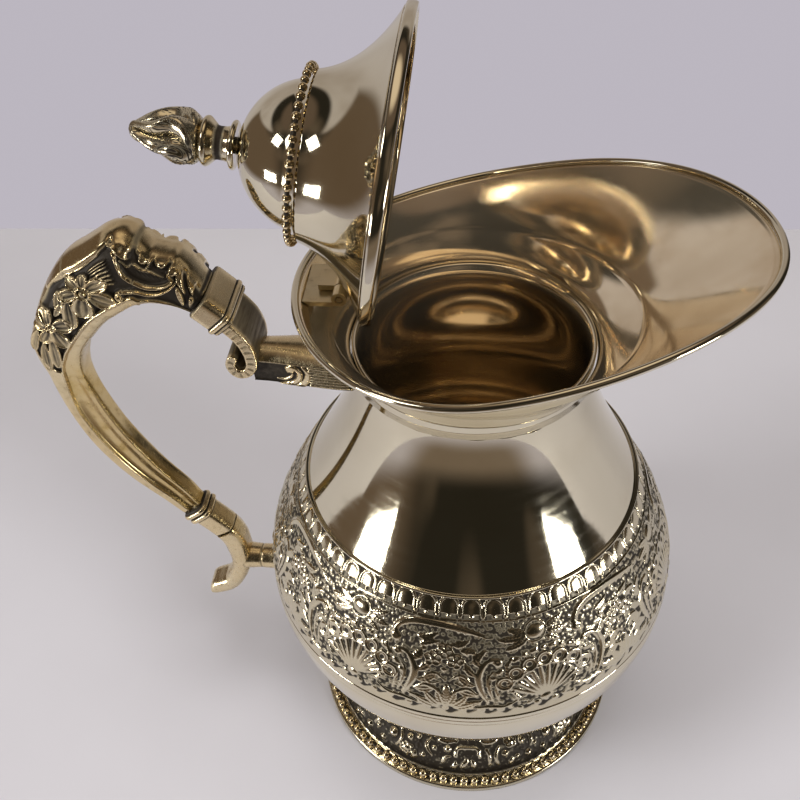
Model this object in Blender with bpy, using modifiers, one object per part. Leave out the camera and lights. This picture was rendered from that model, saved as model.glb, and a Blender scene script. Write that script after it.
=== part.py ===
# Brass water jug: raised baluster body, soldered helmet spout, domed foot, cast scroll handle
# and a bell lid on a rear hinge. The lid rests open against the stop of its hinge.
# Metres, +Z up, spout towards +X, handle towards -X.
import bpy
import bmesh
import math
from mathutils import Matrix, Vector

# Fits
CLEARANCE = 0.0003        # gap left between two pieces that are soldered or rest face to face

# Body
BODY_WALL = 0.0012
NECK_R = 0.0346           # outside of the neck, under the collar
NECK_TOP_Z = 0.1760
BAND_TOP_R = 0.0526       # where the shoulder turns into the belly
BAND_TOP_Z = 0.1240
BAND_BOTTOM_Z = 0.0862    # lower edge of the chased band
BAND_RELIEF = 0.0005      # how far the chased band stands proud
LINE_RELIEF = 0.0009      # the fine raised line above the band
BELLY_R = 0.0696
BELLY_Z = 0.0800
TURN_SLOPE = 0.60         # how fast the radius grows per height where shoulder meets belly
SHOULDER_PULL = 0.30      # pulls of the outline's curves, as shares of their heights
UPPER_BELLY_PULL = 0.34
LOWER_BELLY_PULL = 0.374
LOWER_BELLY_RISE = 0.112
LOWER_BELLY_FULL = 0.66
BOTTOM_R = 0.0300         # flat disc that sits on the foot

# Foot
FOOT_H = 0.0262
FOOT_WALL = 0.0015
FOOT_SEAT_W = 0.0080      # flange under the body
FOOT_DOME_R = 0.0540      # foot of the dome, inside the beads
FOOT_RING_R = 0.0586
FOOT_RING_H = 0.0030
FOOT_RING_W = 0.0085
FOOT_BEAD_R = 0.0017
FOOT_BEAD_COUNT = 90

# Collar and spout
COLLAR_WALL = 0.0011
COLLAR_LAP = 0.0050       # how far the collar's skirt reaches down over the neck
LEDGE_RISE = 0.0090       # from the neck's top up to the crease where the lid sits
LEDGE_R = 0.0395          # inside radius at that crease
LEDGE_FRONT = 0.0460      # the crease is drawn out towards the spout
RIM_RISE = 0.0083         # from the crease up to the rim at the rear
LIP_RISE = 0.0170         # how much higher the pouring lip is
RIM_HALF_W = 0.0494
RIM_REAR = 0.0473
RIM_FRONT = 0.0745
RIM_WIDEST_X = 0.0050
LIP_START = 0.62          # share of the rear reach where the rim begins to rise
NECK_FLARE = 1.7          # how late the wall turns out below the crease, and above it
RIM_FLARE = 1.25
RIM_WIRE_R = 0.0011

# Lid, measured from its own rim plane
LID_RIM_R = 0.0385
LID_LIFT = -0.0010        # closed rim plane above the crease
LID_WALL = 0.0010
LID_BAND_H = 0.0028
LID_SHOULDER_R = 0.0206
LID_SHOULDER_H = 0.0212
LID_DOME_BASE_R = 0.0180
LID_DOME_BASE_H = 0.0243
LID_TOP_H = 0.0384
LID_BEAD_R = 0.0014
LID_BEAD_COUNT = 50
STUD_R = 0.0020
FINIAL_WASHER_R = 0.0060
FINIAL_WASHER_H = 0.0014
FINIAL_NECK_R = 0.0041
FINIAL_COLLAR_R = 0.0060
FINIAL_BUD_R = 0.0065
FINIAL_STEM_H = 0.0073    # neck and collar, under the bud
FINIAL_H = 0.0249
FINIAL_FLUTES = 6
FINIAL_TWIST = 1.7        # radians over the height of the bud
BUD_OUTLINE = ((0.07, 0.90), (0.20, 1.0), (0.33, 0.99), (0.46, 0.91), (0.59, 0.78), (0.72, 0.62),
               (0.84, 0.45), (0.93, 0.32), (1.0, 0.24))
NUT_R = 0.0042
NUT_H = 0.0030

# Hinge
HINGE_INSET = 0.0027      # axis inside the lid's rim radius
HINGE_RISE = 0.0098       # axis above the closed rim plane
KNUCKLE_R = 0.0021
PIN_R = 0.0009
PIN_FIT = 0.00025         # running gap round the pin
HINGE_W = 0.0170
LID_KNUCKLE_W = 0.0080
LEAF_T = 0.0015
HEEL_L = 0.0062
ARM_INSET = 0.0001        # the knuckles' arms are let into the leaf by this
OPEN_ANGLE = math.radians(80.5)

# Handle: the route runs in the XZ plane between the bracket and the stem
BRACKET_LEN = 0.0245      # from the neck to the middle of the upper scroll
CURL_DROP = 0.0090        # the upper scroll's anchor, below the neck's top
BRACKET_DROP = 0.0110     # the bracket's middle, below the neck's top
BRACKET_H = 0.0120
BRACKET_W = 0.0170
BRACKET_CROWN = 0.0030    # how far its top is arched
BRACKET_TAPER_W = 0.66    # width and height at the scroll, as shares of those at the neck
BRACKET_TAPER_H = 0.95
BRACKET_INSET = 0.0055    # how far it runs past the scroll's anchor before it is cut back
BRACKET_REEDS = 7
REED_DEPTH = 0.0005
STEM_Z = 0.0620
STEM_LEN = 0.0196         # from the belly to the middle of the lower scroll
STEM_R = 0.0052
STEM_WAIST = 0.0006
STRAP_W = 0.0162
STRAP_T = 0.0038
CURL_T = 0.0030
UPPER_SCROLL_RISE = 0.0154  # from its anchor up to the ferrule
LOWER_SCROLL_DROP = 0.0180  # from its anchor down to the tip
LOWER_STRAP_T = 0.0084
LOWER_CURL_T = 0.0058
LOWER_KNOB = 0.0009       # swelling of the lower scroll's end
SCROLL_ROUNDING = 0.0008
GRIP_REACH = 0.0648       # farthest the grip's route stands out from the line between the anchors
GRIP_T = 0.0243           # greatest thickness, over the second knuckle
GRIP_TOP_W = 0.0162
GRIP_LOW_W = 0.0094
GRIP_LOW_HOLLOW = 0.25    # how far the lower half's cheeks are drawn in
# share of the way down the grip, then its reach outwards and inwards as shares of GRIP_T
GRIP_SHAPE = ((0.000, 0.169, 0.169), (0.025, 0.238, 0.236), (0.050, 0.353, 0.278), (0.070, 0.399, 0.328),
              (0.090, 0.344, 0.389), (0.110, 0.326, 0.446), (0.130, 0.532, 0.468), (0.150, 0.530, 0.461),
              (0.170, 0.474, 0.453), (0.190, 0.449, 0.457), (0.220, 0.453, 0.461), (0.250, 0.439, 0.447),
              (0.280, 0.419, 0.413), (0.310, 0.401, 0.391), (0.350, 0.374, 0.366), (0.390, 0.354, 0.333),
              (0.430, 0.374, 0.295), (0.470, 0.316, 0.264), (0.510, 0.247, 0.245), (0.550, 0.249, 0.255),
              (0.600, 0.260, 0.270), (0.660, 0.272, 0.282), (0.720, 0.288, 0.282), (0.780, 0.288, 0.282),
              (0.840, 0.267, 0.270), (0.900, 0.240, 0.249), (0.950, 0.218, 0.230), (1.000, 0.181, 0.181))
LOWER_SCROLL_W = 0.0104
SECTION_POWER = 0.50      # 1 is an ellipse, near 0 a box
BOX_POWER = 0.30
TONGUE_INSET = 0.0016     # the grip's ends are stepped down by this where they enter the ferrules
UPPER_FERRULE_LEN = 0.0100
LOWER_FERRULE_LEN = 0.0155
TONGUE_LEN = 0.0060
FERRULE_WALL = 0.0014
FERRULE_END_T = 0.0012    # the upper ferrule is closed towards the strap
FERRULE_CHEEK = 0.0007    # and its cheeks are thicker by this
RING_CREST = 0.0006       # half widths of a ferrule's ring, at its crest and foot
RING_FOOT = 0.0011
UPPER_RING_H = 0.0005
LOWER_RING_H = 0.0010

STEPS = 36                # facets round the turned pieces
ROUND_SIDES = 24          # facets round the finial and the stem
PER_SPAN = 4              # points between two given ones on the handle's route


def clear_scene():
    for old in list(bpy.data.objects):
        bpy.data.objects.remove(old, do_unlink=True)


def make_collection(name):
    made = bpy.data.collections.new(name)
    bpy.context.scene.collection.children.link(made)
    return made


clear_scene()
parts = make_collection("brass_jug")
cutters = make_collection("cutters")
jug_axis = bpy.data.objects.new("jug_axis", None)
parts.objects.link(jug_axis)


def metal(name, color, roughness):
    mat = bpy.data.materials.new(name)
    mat.use_nodes = True
    shader = mat.node_tree.nodes["Principled BSDF"]
    shader.inputs["Base Color"].default_value = (*color, 1.0)
    shader.inputs["Metallic"].default_value = 1.0
    shader.inputs["Roughness"].default_value = roughness
    mat.diffuse_color = (*color, 1.0)
    return mat


PALE_BRASS = (0.72, 0.66, 0.55)
CHASED_BRASS = (0.60, 0.53, 0.42)
YELLOW_BRASS = (0.62, 0.50, 0.28)


def add_part(name, data, color, roughness=0.15, parent=None):
    made = bpy.data.objects.new(name, data)
    parts.objects.link(made)
    data.materials.append(metal(name + "_metal", color, roughness))
    made.parent = parent or jug_axis
    return made


def add_cutter(name, data):
    made = bpy.data.objects.new(name, data)
    cutters.objects.link(made)
    made.parent = jug_axis
    made.hide_render = True
    made.display_type = "WIRE"
    return made


def smooth(obj, angle=35.0):
    obj.data.shade_smooth()
    obj.data.set_sharp_from_angle(angle=math.radians(angle))


# Turned pieces: a profile in the XZ plane, run down its outer side, and a Screw modifier
def profile_mesh(name, profile, closed):
    bm = bmesh.new()
    verts = [bm.verts.new((r, 0.0, z)) for r, z in profile]
    for a, b in zip(verts, verts[1:]):
        bm.edges.new((a, b))
    if closed:
        bm.edges.new((verts[-1], verts[0]))
    mesh = bpy.data.meshes.new(name)
    bm.to_mesh(mesh)
    bm.free()
    return mesh


def add_screw(obj, steps=STEPS):
    screw = obj.modifiers.new("Screw", "SCREW")
    screw.axis = "Z"
    screw.angle = 2.0 * math.pi
    screw.steps = steps
    screw.render_steps = steps
    screw.use_merge_vertices = True
    screw.merge_threshold = 0.00001
    screw.use_smooth_shade = True


def turned(name, profile, color, roughness=0.15, closed=True, parent=None, steps=STEPS):
    made = add_part(name, profile_mesh(name, profile, closed), color, roughness, parent)
    add_screw(made, steps)
    return made


def turned_cutter(name, profile, closed=False):
    made = add_cutter(name, profile_mesh(name, profile, closed))
    add_screw(made)
    return made


# Lofts between unlike sections
def ring_faces(bm, low, high):
    count = len(low)
    for i in range(count):
        j = (i + 1) % count
        bm.faces.new((low[i], low[j], high[j], high[i]))


def loft_mesh(name, rings, caps):
    bm = bmesh.new()
    rows = [[bm.verts.new(p) for p in ring] for ring in rings]
    for low, high in zip(rows, rows[1:]):
        ring_faces(bm, low, high)
    if caps:
        bm.faces.new(list(reversed(rows[0])))
        bm.faces.new(rows[-1])
        bmesh.ops.recalc_face_normals(bm, faces=bm.faces)
    mesh = bpy.data.meshes.new(name)
    bm.to_mesh(mesh)
    bm.free()
    return mesh


def tube_mesh(name, outer, inner, closed_start=False):
    # the inner rings may be fewer than the outer ones
    bm = bmesh.new()
    out_rows = [[bm.verts.new(p) for p in ring] for ring in outer]
    in_rows = [[bm.verts.new(p) for p in ring] for ring in inner]
    for rows in (out_rows, in_rows):
        for low, high in zip(rows, rows[1:]):
            ring_faces(bm, low, high)
    if closed_start:
        bm.faces.new(out_rows[0])
        bm.faces.new(in_rows[0])
    else:
        ring_faces(bm, out_rows[0], in_rows[0])
    ring_faces(bm, out_rows[-1], in_rows[-1])
    bmesh.ops.recalc_face_normals(bm, faces=bm.faces)
    mesh = bpy.data.meshes.new(name)
    bm.to_mesh(mesh)
    bm.free()
    return mesh


def add_boolean(obj, other, operation="DIFFERENCE"):
    mod = obj.modifiers.new(operation.title(), "BOOLEAN")
    mod.operation = operation
    mod.solver = "EXACT"
    mod.object = other


def box_mesh(name, low, high):
    bm = bmesh.new()
    bmesh.ops.create_cube(bm, size=1.0)
    size = Vector(high) - Vector(low)
    middle = (Vector(high) + Vector(low)) / 2.0
    bmesh.ops.scale(bm, vec=size, verts=bm.verts)
    bmesh.ops.translate(bm, vec=middle, verts=bm.verts)
    mesh = bpy.data.meshes.new(name)
    bm.to_mesh(mesh)
    bm.free()
    return mesh


def crosswise_cylinder(name, radius, length, segments=16, middle=(0.0, 0.0, 0.0)):
    bm = bmesh.new()
    turn = Matrix.Translation(middle) @ Matrix.Rotation(math.pi / 2.0, 4, "X")
    bmesh.ops.create_cone(bm, cap_ends=True, segments=segments, radius1=radius, radius2=radius,
                          depth=length, matrix=turn)
    mesh = bpy.data.meshes.new(name)
    bm.to_mesh(mesh)
    bm.free()
    return mesh


# Body outline: shoulder, upper belly and lower belly are three Bezier curves in (r, z)
def bezier(curve, t):
    a, b, c, d = curve
    s = 1.0 - t
    weights = (s ** 3, 3.0 * s * s * t, 3.0 * s * t * t, t ** 3)
    return tuple(sum(w * p[k] for w, p in zip(weights, (a, b, c, d))) for k in (0, 1))


def bezier_at_height(curve, z):
    low, high = 0.0, 1.0
    for _ in range(40):
        middle = (low + high) / 2.0
        if bezier(curve, middle)[1] > z:
            low = middle
        else:
            high = middle
    return (low + high) / 2.0


SKIRT_Z = NECK_TOP_Z - COLLAR_LAP
SHOULDER_H = SKIRT_Z - 0.001 - BAND_TOP_Z
BODY_BOTTOM_Z = FOOT_H + CLEARANCE
shoulder_pull = SHOULDER_H * SHOULDER_PULL
belly_pull = (BAND_TOP_Z - BELLY_Z) * UPPER_BELLY_PULL
lower_h = BELLY_Z - BODY_BOTTOM_Z
shoulder = ((NECK_R, SKIRT_Z - 0.001),
            (NECK_R + 0.0004, SKIRT_Z - SHOULDER_H * 0.32),
            (BAND_TOP_R - TURN_SLOPE * shoulder_pull, BAND_TOP_Z + shoulder_pull),
            (BAND_TOP_R, BAND_TOP_Z))
upper_belly = ((BAND_TOP_R, BAND_TOP_Z),
               (BAND_TOP_R + TURN_SLOPE * belly_pull, BAND_TOP_Z - belly_pull),
               (BELLY_R, BELLY_Z + belly_pull),
               (BELLY_R, BELLY_Z))
lower_belly = ((BELLY_R, BELLY_Z),
               (BELLY_R, BELLY_Z - lower_h * LOWER_BELLY_PULL),
               (BOTTOM_R + (BELLY_R - BOTTOM_R) * LOWER_BELLY_FULL,
                BODY_BOTTOM_Z + lower_h * LOWER_BELLY_RISE),
               (BOTTOM_R, BODY_BOTTOM_Z))


def body_radius(z):
    if z >= SKIRT_Z - 0.001:
        return NECK_R
    for curve in (shoulder, upper_belly, lower_belly):
        if z >= curve[3][1]:
            return bezier(curve, bezier_at_height(curve, z))[0]
    return BOTTOM_R


def curve_points(curve, count, first=0.0, last=1.0):
    return [bezier(curve, first + (last - first) * k / count) for k in range(count + 1)]


def proud(points, amount):
    return [(r + amount, z) for r, z in points]


def offset_inwards(points, wall):
    moved = []
    for k, (r, z) in enumerate(points):
        before = points[max(k - 1, 0)]
        after = points[min(k + 1, len(points) - 1)]
        dr, dz = after[0] - before[0], after[1] - before[1]
        length = math.hypot(dr, dz)
        moved.append((r + dz / length * wall, z - dr / length * wall))
    return moved


def make_body():
    band_end = bezier_at_height(upper_belly, BAND_BOTTOM_Z)
    line = [(BAND_TOP_R + LINE_RELIEF, BAND_TOP_Z + 0.0002),
            (BAND_TOP_R + LINE_RELIEF + 0.0004, BAND_TOP_Z - 0.0008)]
    outer = [(NECK_R, NECK_TOP_Z), (NECK_R, SKIRT_Z)]
    outer += curve_points(shoulder, 6)[1:-1]
    outer += [(BAND_TOP_R - 0.0007, BAND_TOP_Z + 0.0012)] + line
    outer += proud(curve_points(upper_belly, 5, 0.05, band_end), BAND_RELIEF)
    outer += curve_points(upper_belly, 1, band_end + 0.03, 1.0)
    outer += curve_points(lower_belly, 6)[1:]
    smooth_line = curve_points(shoulder, 4)
    smooth_line += curve_points(upper_belly, 3)[1:]
    smooth_line += curve_points(lower_belly, 5)[1:]
    inner = offset_inwards(smooth_line, BODY_WALL)
    inner[-1] = (BOTTOM_R - BODY_WALL, BODY_BOTTOM_Z + BODY_WALL)
    inner = [(NECK_R - BODY_WALL, NECK_TOP_Z)] + inner
    profile = [(0.0, BODY_BOTTOM_Z + BODY_WALL)] + list(reversed(inner)) + outer + [(0.0, BODY_BOTTOM_Z)]
    return turned("body_shell", profile, PALE_BRASS, 0.08, closed=False)


make_body()


# Collar and spout: every section is a pair of half ellipses that share one width
LEDGE_Z = NECK_TOP_Z + LEDGE_RISE
RIM_Z = LEDGE_Z + RIM_RISE
SKIRT_IN_R = NECK_R + CLEARANCE


def half_ellipses(rear, front, half_width, widest_x, angle):
    reach = (front - widest_x) if math.cos(angle) >= 0.0 else (rear + widest_x)
    return widest_x + reach * math.cos(angle), half_width * math.sin(angle)


def lip_height(x):
    start = RIM_REAR * LIP_START
    share = (x + start) / (RIM_FRONT + start)
    share = min(max(share, 0.0), 1.0)
    return LIP_RISE * share * share * (3.0 - 2.0 * share)


def collar_point(angle, stage):
    # stage 0 is the neck, 1 the crease that the lid sits on, 2 the rim
    neck = Vector((SKIRT_IN_R * math.cos(angle), SKIRT_IN_R * math.sin(angle), NECK_TOP_Z - 0.002))
    ledge_x, ledge_y = half_ellipses(LEDGE_R, LEDGE_FRONT, LEDGE_R, 0.0, angle)
    ledge = Vector((ledge_x, ledge_y, LEDGE_Z))
    rim_x, rim_y = half_ellipses(RIM_REAR, RIM_FRONT, RIM_HALF_W, RIM_WIDEST_X, angle)
    rim = Vector((rim_x, rim_y, RIM_Z + lip_height(rim_x)))
    if stage <= 1.0:
        point = neck.lerp(ledge, stage ** NECK_FLARE)
        point.z = neck.z + (ledge.z - neck.z) * stage
        return point
    up = stage - 1.0
    point = ledge.lerp(rim, up ** RIM_FLARE)
    point.z = ledge.z + (rim.z - ledge.z) * up
    return point


def collar_rings():
    angles = [2.0 * math.pi * k / STEPS for k in range(STEPS)]
    skirt = [Vector((SKIRT_IN_R * math.cos(a), SKIRT_IN_R * math.sin(a), SKIRT_Z)) for a in angles]
    stages = (0.0, 0.4, 0.75, 1.0, 1.25, 1.6, 2.0)
    return [skirt] + [[collar_point(a, s) for a in angles] for s in stages]


def solidify(obj, thickness, offset):
    mod = obj.modifiers.new("Solidify", "SOLIDIFY")
    mod.thickness = thickness
    mod.offset = offset
    mod.use_even_offset = True


def make_collar():
    rings = collar_rings()
    collar = add_part("collar_spout", loft_mesh("collar_spout", rings, caps=False), PALE_BRASS, 0.08)
    smooth(collar, 40)
    solidify(collar, COLLAR_WALL, 1.0)
    return rings


rings = make_collar()


def collar_cutter():
    # starts one clearance inside the wall and takes everything beyond it
    thick = COLLAR_WALL * 4.0
    made = add_cutter("collar_clearance", loft_mesh("collar_clearance", rings, caps=False))
    solidify(made, thick, 1.0 - 2.0 * CLEARANCE / thick)
    return made


around_collar = collar_cutter()


def make_rim_wire():
    top, below = rings[-1], rings[-2]
    curve = bpy.data.curves.new("rim_wire", "CURVE")
    curve.dimensions = "3D"
    curve.bevel_depth = RIM_WIRE_R
    curve.bevel_resolution = 1
    spline = curve.splines.new("POLY")
    spline.points.add(len(top) - 1)
    spline.use_cyclic_u = True
    for k, (edge, under) in enumerate(zip(top, below)):
        rise = (edge - under).normalized()
        along = (top[(k + 1) % len(top)] - top[k - 1]).normalized()
        outward = along.cross(rise).normalized()
        seat = edge + outward * COLLAR_WALL / 2.0
        spline.points[k].co = (*(seat + rise * (RIM_WIRE_R + CLEARANCE * 1.6)), 1.0)
    add_part("rim_wire", curve, PALE_BRASS, 0.1)


make_rim_wire()


# Beaded wire: a poly curve whose radius swells at every bead
def beaded_wire(name, ring_r, height, bead_r, count, color, parent=None):
    curve = bpy.data.curves.new(name, "CURVE")
    curve.dimensions = "3D"
    curve.bevel_depth = bead_r
    curve.bevel_resolution = 0
    spline = curve.splines.new("POLY")
    spline.points.add(2 * count - 1)
    spline.use_cyclic_u = True
    for k in range(2 * count):
        angle = math.pi * k / count
        spline.points[k].co = (ring_r * math.cos(angle), ring_r * math.sin(angle), height, 1.0)
        spline.points[k].radius = 1.0 if k % 2 == 0 else 0.45
    return add_part(name, curve, color, 0.2, parent)


def make_foot():
    seat_in = BOTTOM_R - FOOT_SEAT_W
    top = FOOT_H
    base = FOOT_RING_H + CLEARANCE
    height = top - base
    outer = [(BOTTOM_R, top),
             (BOTTOM_R - 0.0008, top - height * 0.07),
             (BOTTOM_R + 0.0006, top - height * 0.20),
             (BOTTOM_R + (FOOT_DOME_R - BOTTOM_R) * 0.22, top - height * 0.32),
             (BOTTOM_R + (FOOT_DOME_R - BOTTOM_R) * 0.50, top - height * 0.40),
             (BOTTOM_R + (FOOT_DOME_R - BOTTOM_R) * 0.76, top - height * 0.54),
             (BOTTOM_R + (FOOT_DOME_R - BOTTOM_R) * 0.93, top - height * 0.76),
             (FOOT_DOME_R, base)]
    inner = [(r - FOOT_WALL, z - FOOT_WALL) for r, z in outer[2:6]]
    inner.append((outer[6][0] - FOOT_WALL, outer[6][1] - 0.0004))
    inner.append((FOOT_DOME_R - FOOT_WALL * 1.3, base))
    inner.reverse()
    profile = outer + inner + [(seat_in, top - FOOT_WALL), (seat_in, top)]
    turned("foot_casting", profile, CHASED_BRASS, 0.3)
    chamfer = 0.0006
    ring = [(FOOT_RING_R - FOOT_RING_W, FOOT_RING_H),
            (FOOT_RING_R - chamfer, FOOT_RING_H),
            (FOOT_RING_R, FOOT_RING_H - chamfer),
            (FOOT_RING_R, 0.0),
            (FOOT_RING_R - FOOT_RING_W, 0.0)]
    turned("foot_base_ring", ring, PALE_BRASS, 0.15)
    bead_seat_z = FOOT_RING_H + CLEARANCE + FOOT_BEAD_R
    bead_ring_r = FOOT_DOME_R + CLEARANCE + FOOT_BEAD_R + 0.0002
    beaded_wire("foot_bead_ring", bead_ring_r, bead_seat_z, FOOT_BEAD_R, FOOT_BEAD_COUNT, PALE_BRASS)


make_foot()


# Lid, modelled closed under an empty on the hinge axis, then turned open
LID_Z = LEDGE_Z + LID_LIFT
HINGE_X = -(LID_RIM_R - HINGE_INSET)
HINGE_Z = LID_Z + HINGE_RISE
lid_hinge = bpy.data.objects.new("lid_hinge", None)
parts.objects.link(lid_hinge)
lid_hinge.parent = jug_axis
lid_hinge.location = (HINGE_X, 0.0, HINGE_Z)
lid_hinge.rotation_euler = (0.0, -OPEN_ANGLE, 0.0)
FLARE_SEAT = LID_BAND_H + CLEARANCE
flare = ((LID_RIM_R - 0.0011, FLARE_SEAT),
         (LID_RIM_R - 0.0090, FLARE_SEAT + 0.0039),
         (LID_SHOULDER_R + 0.0021, LID_SHOULDER_H * 0.61),
         (LID_SHOULDER_R, LID_SHOULDER_H))


def dome_points(count):
    rise = LID_TOP_H - LID_DOME_BASE_H
    sphere_r = (LID_DOME_BASE_R ** 2 + rise ** 2) / (2.0 * rise)
    middle = LID_TOP_H - sphere_r
    start = math.asin((STUD_R + CLEARANCE) / sphere_r)
    end = math.asin(LID_DOME_BASE_R / sphere_r)
    angles = [start + (end - start) * k / count for k in range(count + 1)]
    return [(sphere_r * math.sin(a), middle + sphere_r * math.cos(a)) for a in angles]


def on_lid(points):
    # profiles of the lid, in the frame of the hinge empty
    return [(r, z - HINGE_RISE) for r, z in points]


def lid_profile():
    dome = dome_points(5)
    step = [(LID_SHOULDER_R - LID_BEAD_R, LID_SHOULDER_H + LID_BEAD_R * 0.5)]
    return dome + step + list(reversed(curve_points(flare, 6)))


def lid_part(obj):
    obj.location = (-HINGE_X, 0.0, 0.0)
    return obj


def lid_lining():
    # inside of the bell, with fewer points than the outside
    outer = lid_profile()
    inner = offset_inwards(outer, LID_WALL)
    inner[0] = (STUD_R + CLEARANCE, LID_TOP_H - LID_WALL)
    inner[-1] = (outer[-1][0] - LID_WALL, FLARE_SEAT)
    return [p for k, p in enumerate(inner) if k % 2 == 0 or k == len(inner) - 1]


def height_at(line, radius):
    for (r0, z0), (r1, z1) in zip(line, line[1:]):
        if r0 <= radius <= r1:
            return z0 + (z1 - z0) * (radius - r0) / (r1 - r0)
    return line[-1][1]


def make_lid():
    profile = lid_profile() + list(reversed(lid_lining()))
    bell = turned("lid_bell", on_lid(profile), PALE_BRASS, 0.08, parent=lid_hinge)
    lid_part(bell)
    band = [(LID_RIM_R - 0.0012, LID_BAND_H), (LID_RIM_R, LID_BAND_H),
            (LID_RIM_R, 0.0), (LID_RIM_R - 0.0012, 0.0)]
    lid_part(turned("lid_rim_band", on_lid(band), PALE_BRASS, 0.12, parent=lid_hinge))
    bead_ring_r = LID_SHOULDER_R + LID_BEAD_R * 0.5
    bead_ring_z = LID_SHOULDER_H + LID_BEAD_R * 1.1 - HINGE_RISE
    lid_part(beaded_wire("lid_bead_ring", bead_ring_r, bead_ring_z, LID_BEAD_R, LID_BEAD_COUNT, PALE_BRASS,
                         parent=lid_hinge))


make_lid()


def make_finial():
    seat = LID_TOP_H + CLEARANCE
    bore = STUD_R + CLEARANCE
    washer = [(bore, seat + FINIAL_WASHER_H), (FINIAL_WASHER_R - 0.0006, seat + FINIAL_WASHER_H),
              (FINIAL_WASHER_R, seat + FINIAL_WASHER_H / 2.0), (FINIAL_WASHER_R - 0.0006, seat), (bore, seat)]
    lid_part(turned("finial_washer", on_lid(washer), PALE_BRASS, 0.15, parent=lid_hinge, steps=16))
    foot = seat + FINIAL_WASHER_H + CLEARANCE
    under = height_at(lid_lining(), NUT_R) - CLEARANCE
    stud_end = under - NUT_H - STUD_R * 0.5
    stem = FINIAL_STEM_H
    stations = [(stud_end, STUD_R), (foot, STUD_R), (foot, FINIAL_COLLAR_R * 0.75),
                (foot + stem * 0.12, FINIAL_NECK_R), (foot + stem * 0.48, FINIAL_NECK_R),
                (foot + stem * 0.66, FINIAL_COLLAR_R), (foot + stem * 0.92, FINIAL_COLLAR_R),
                (foot + stem, FINIAL_COLLAR_R * 0.80)]
    turns = [2.0 * math.pi * k / ROUND_SIDES for k in range(ROUND_SIDES)]
    rings_out = []
    for z, r in stations:
        rings_out.append([Vector((r * math.cos(a), r * math.sin(a), z - HINGE_RISE)) for a in turns])
    bud_start = foot + stem
    bud_h = FINIAL_H - stem
    for share, size in BUD_OUTLINE:
        swell = FINIAL_BUD_R * size
        flute = 0.11 * math.sin(math.pi * min(share * 1.15, 1.0)) + 0.02
        ring = []
        for angle in turns:
            lobe = 1.0 + flute * math.cos(FINIAL_FLUTES * (angle - FINIAL_TWIST * share))
            ring.append(Vector((swell * lobe * math.cos(angle), swell * lobe * math.sin(angle),
                                bud_start + bud_h * share - HINGE_RISE)))
        rings_out.append(ring)
    finial = add_part("finial", loft_mesh("finial", rings_out, caps=True), CHASED_BRASS, 0.25, lid_hinge)
    smooth(lid_part(finial), 40)
    hexagon_bore = bore / math.cos(math.pi / 6.0)
    nut = [(hexagon_bore, under), (NUT_R, under), (NUT_R, under - NUT_H), (hexagon_bore, under - NUT_H)]
    nut_obj = turned("finial_nut", on_lid(nut), YELLOW_BRASS, 0.3, parent=lid_hinge, steps=6)
    lid_part(nut_obj)
    for polygon in nut_obj.data.polygons:
        polygon.use_smooth = False


make_finial()


# Hinge: the body leaf is soldered inside the collar's rear wall, the lid leaf on the lid's flare
def lid_clearance_cutter():
    grown = [(r + CLEARANCE * 1.2, z + CLEARANCE * 0.6) for r, z in curve_points(flare, 7)]
    points = [(0.0, grown[-1][1])] + list(reversed(grown)) + [(0.0, grown[0][1])]
    made = add_cutter("lid_clearance", profile_mesh("lid_clearance", on_lid(points), False))
    add_screw(made)
    made.parent = lid_hinge
    made.location = (-HINGE_X, 0.0, 0.0)
    return made


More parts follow.
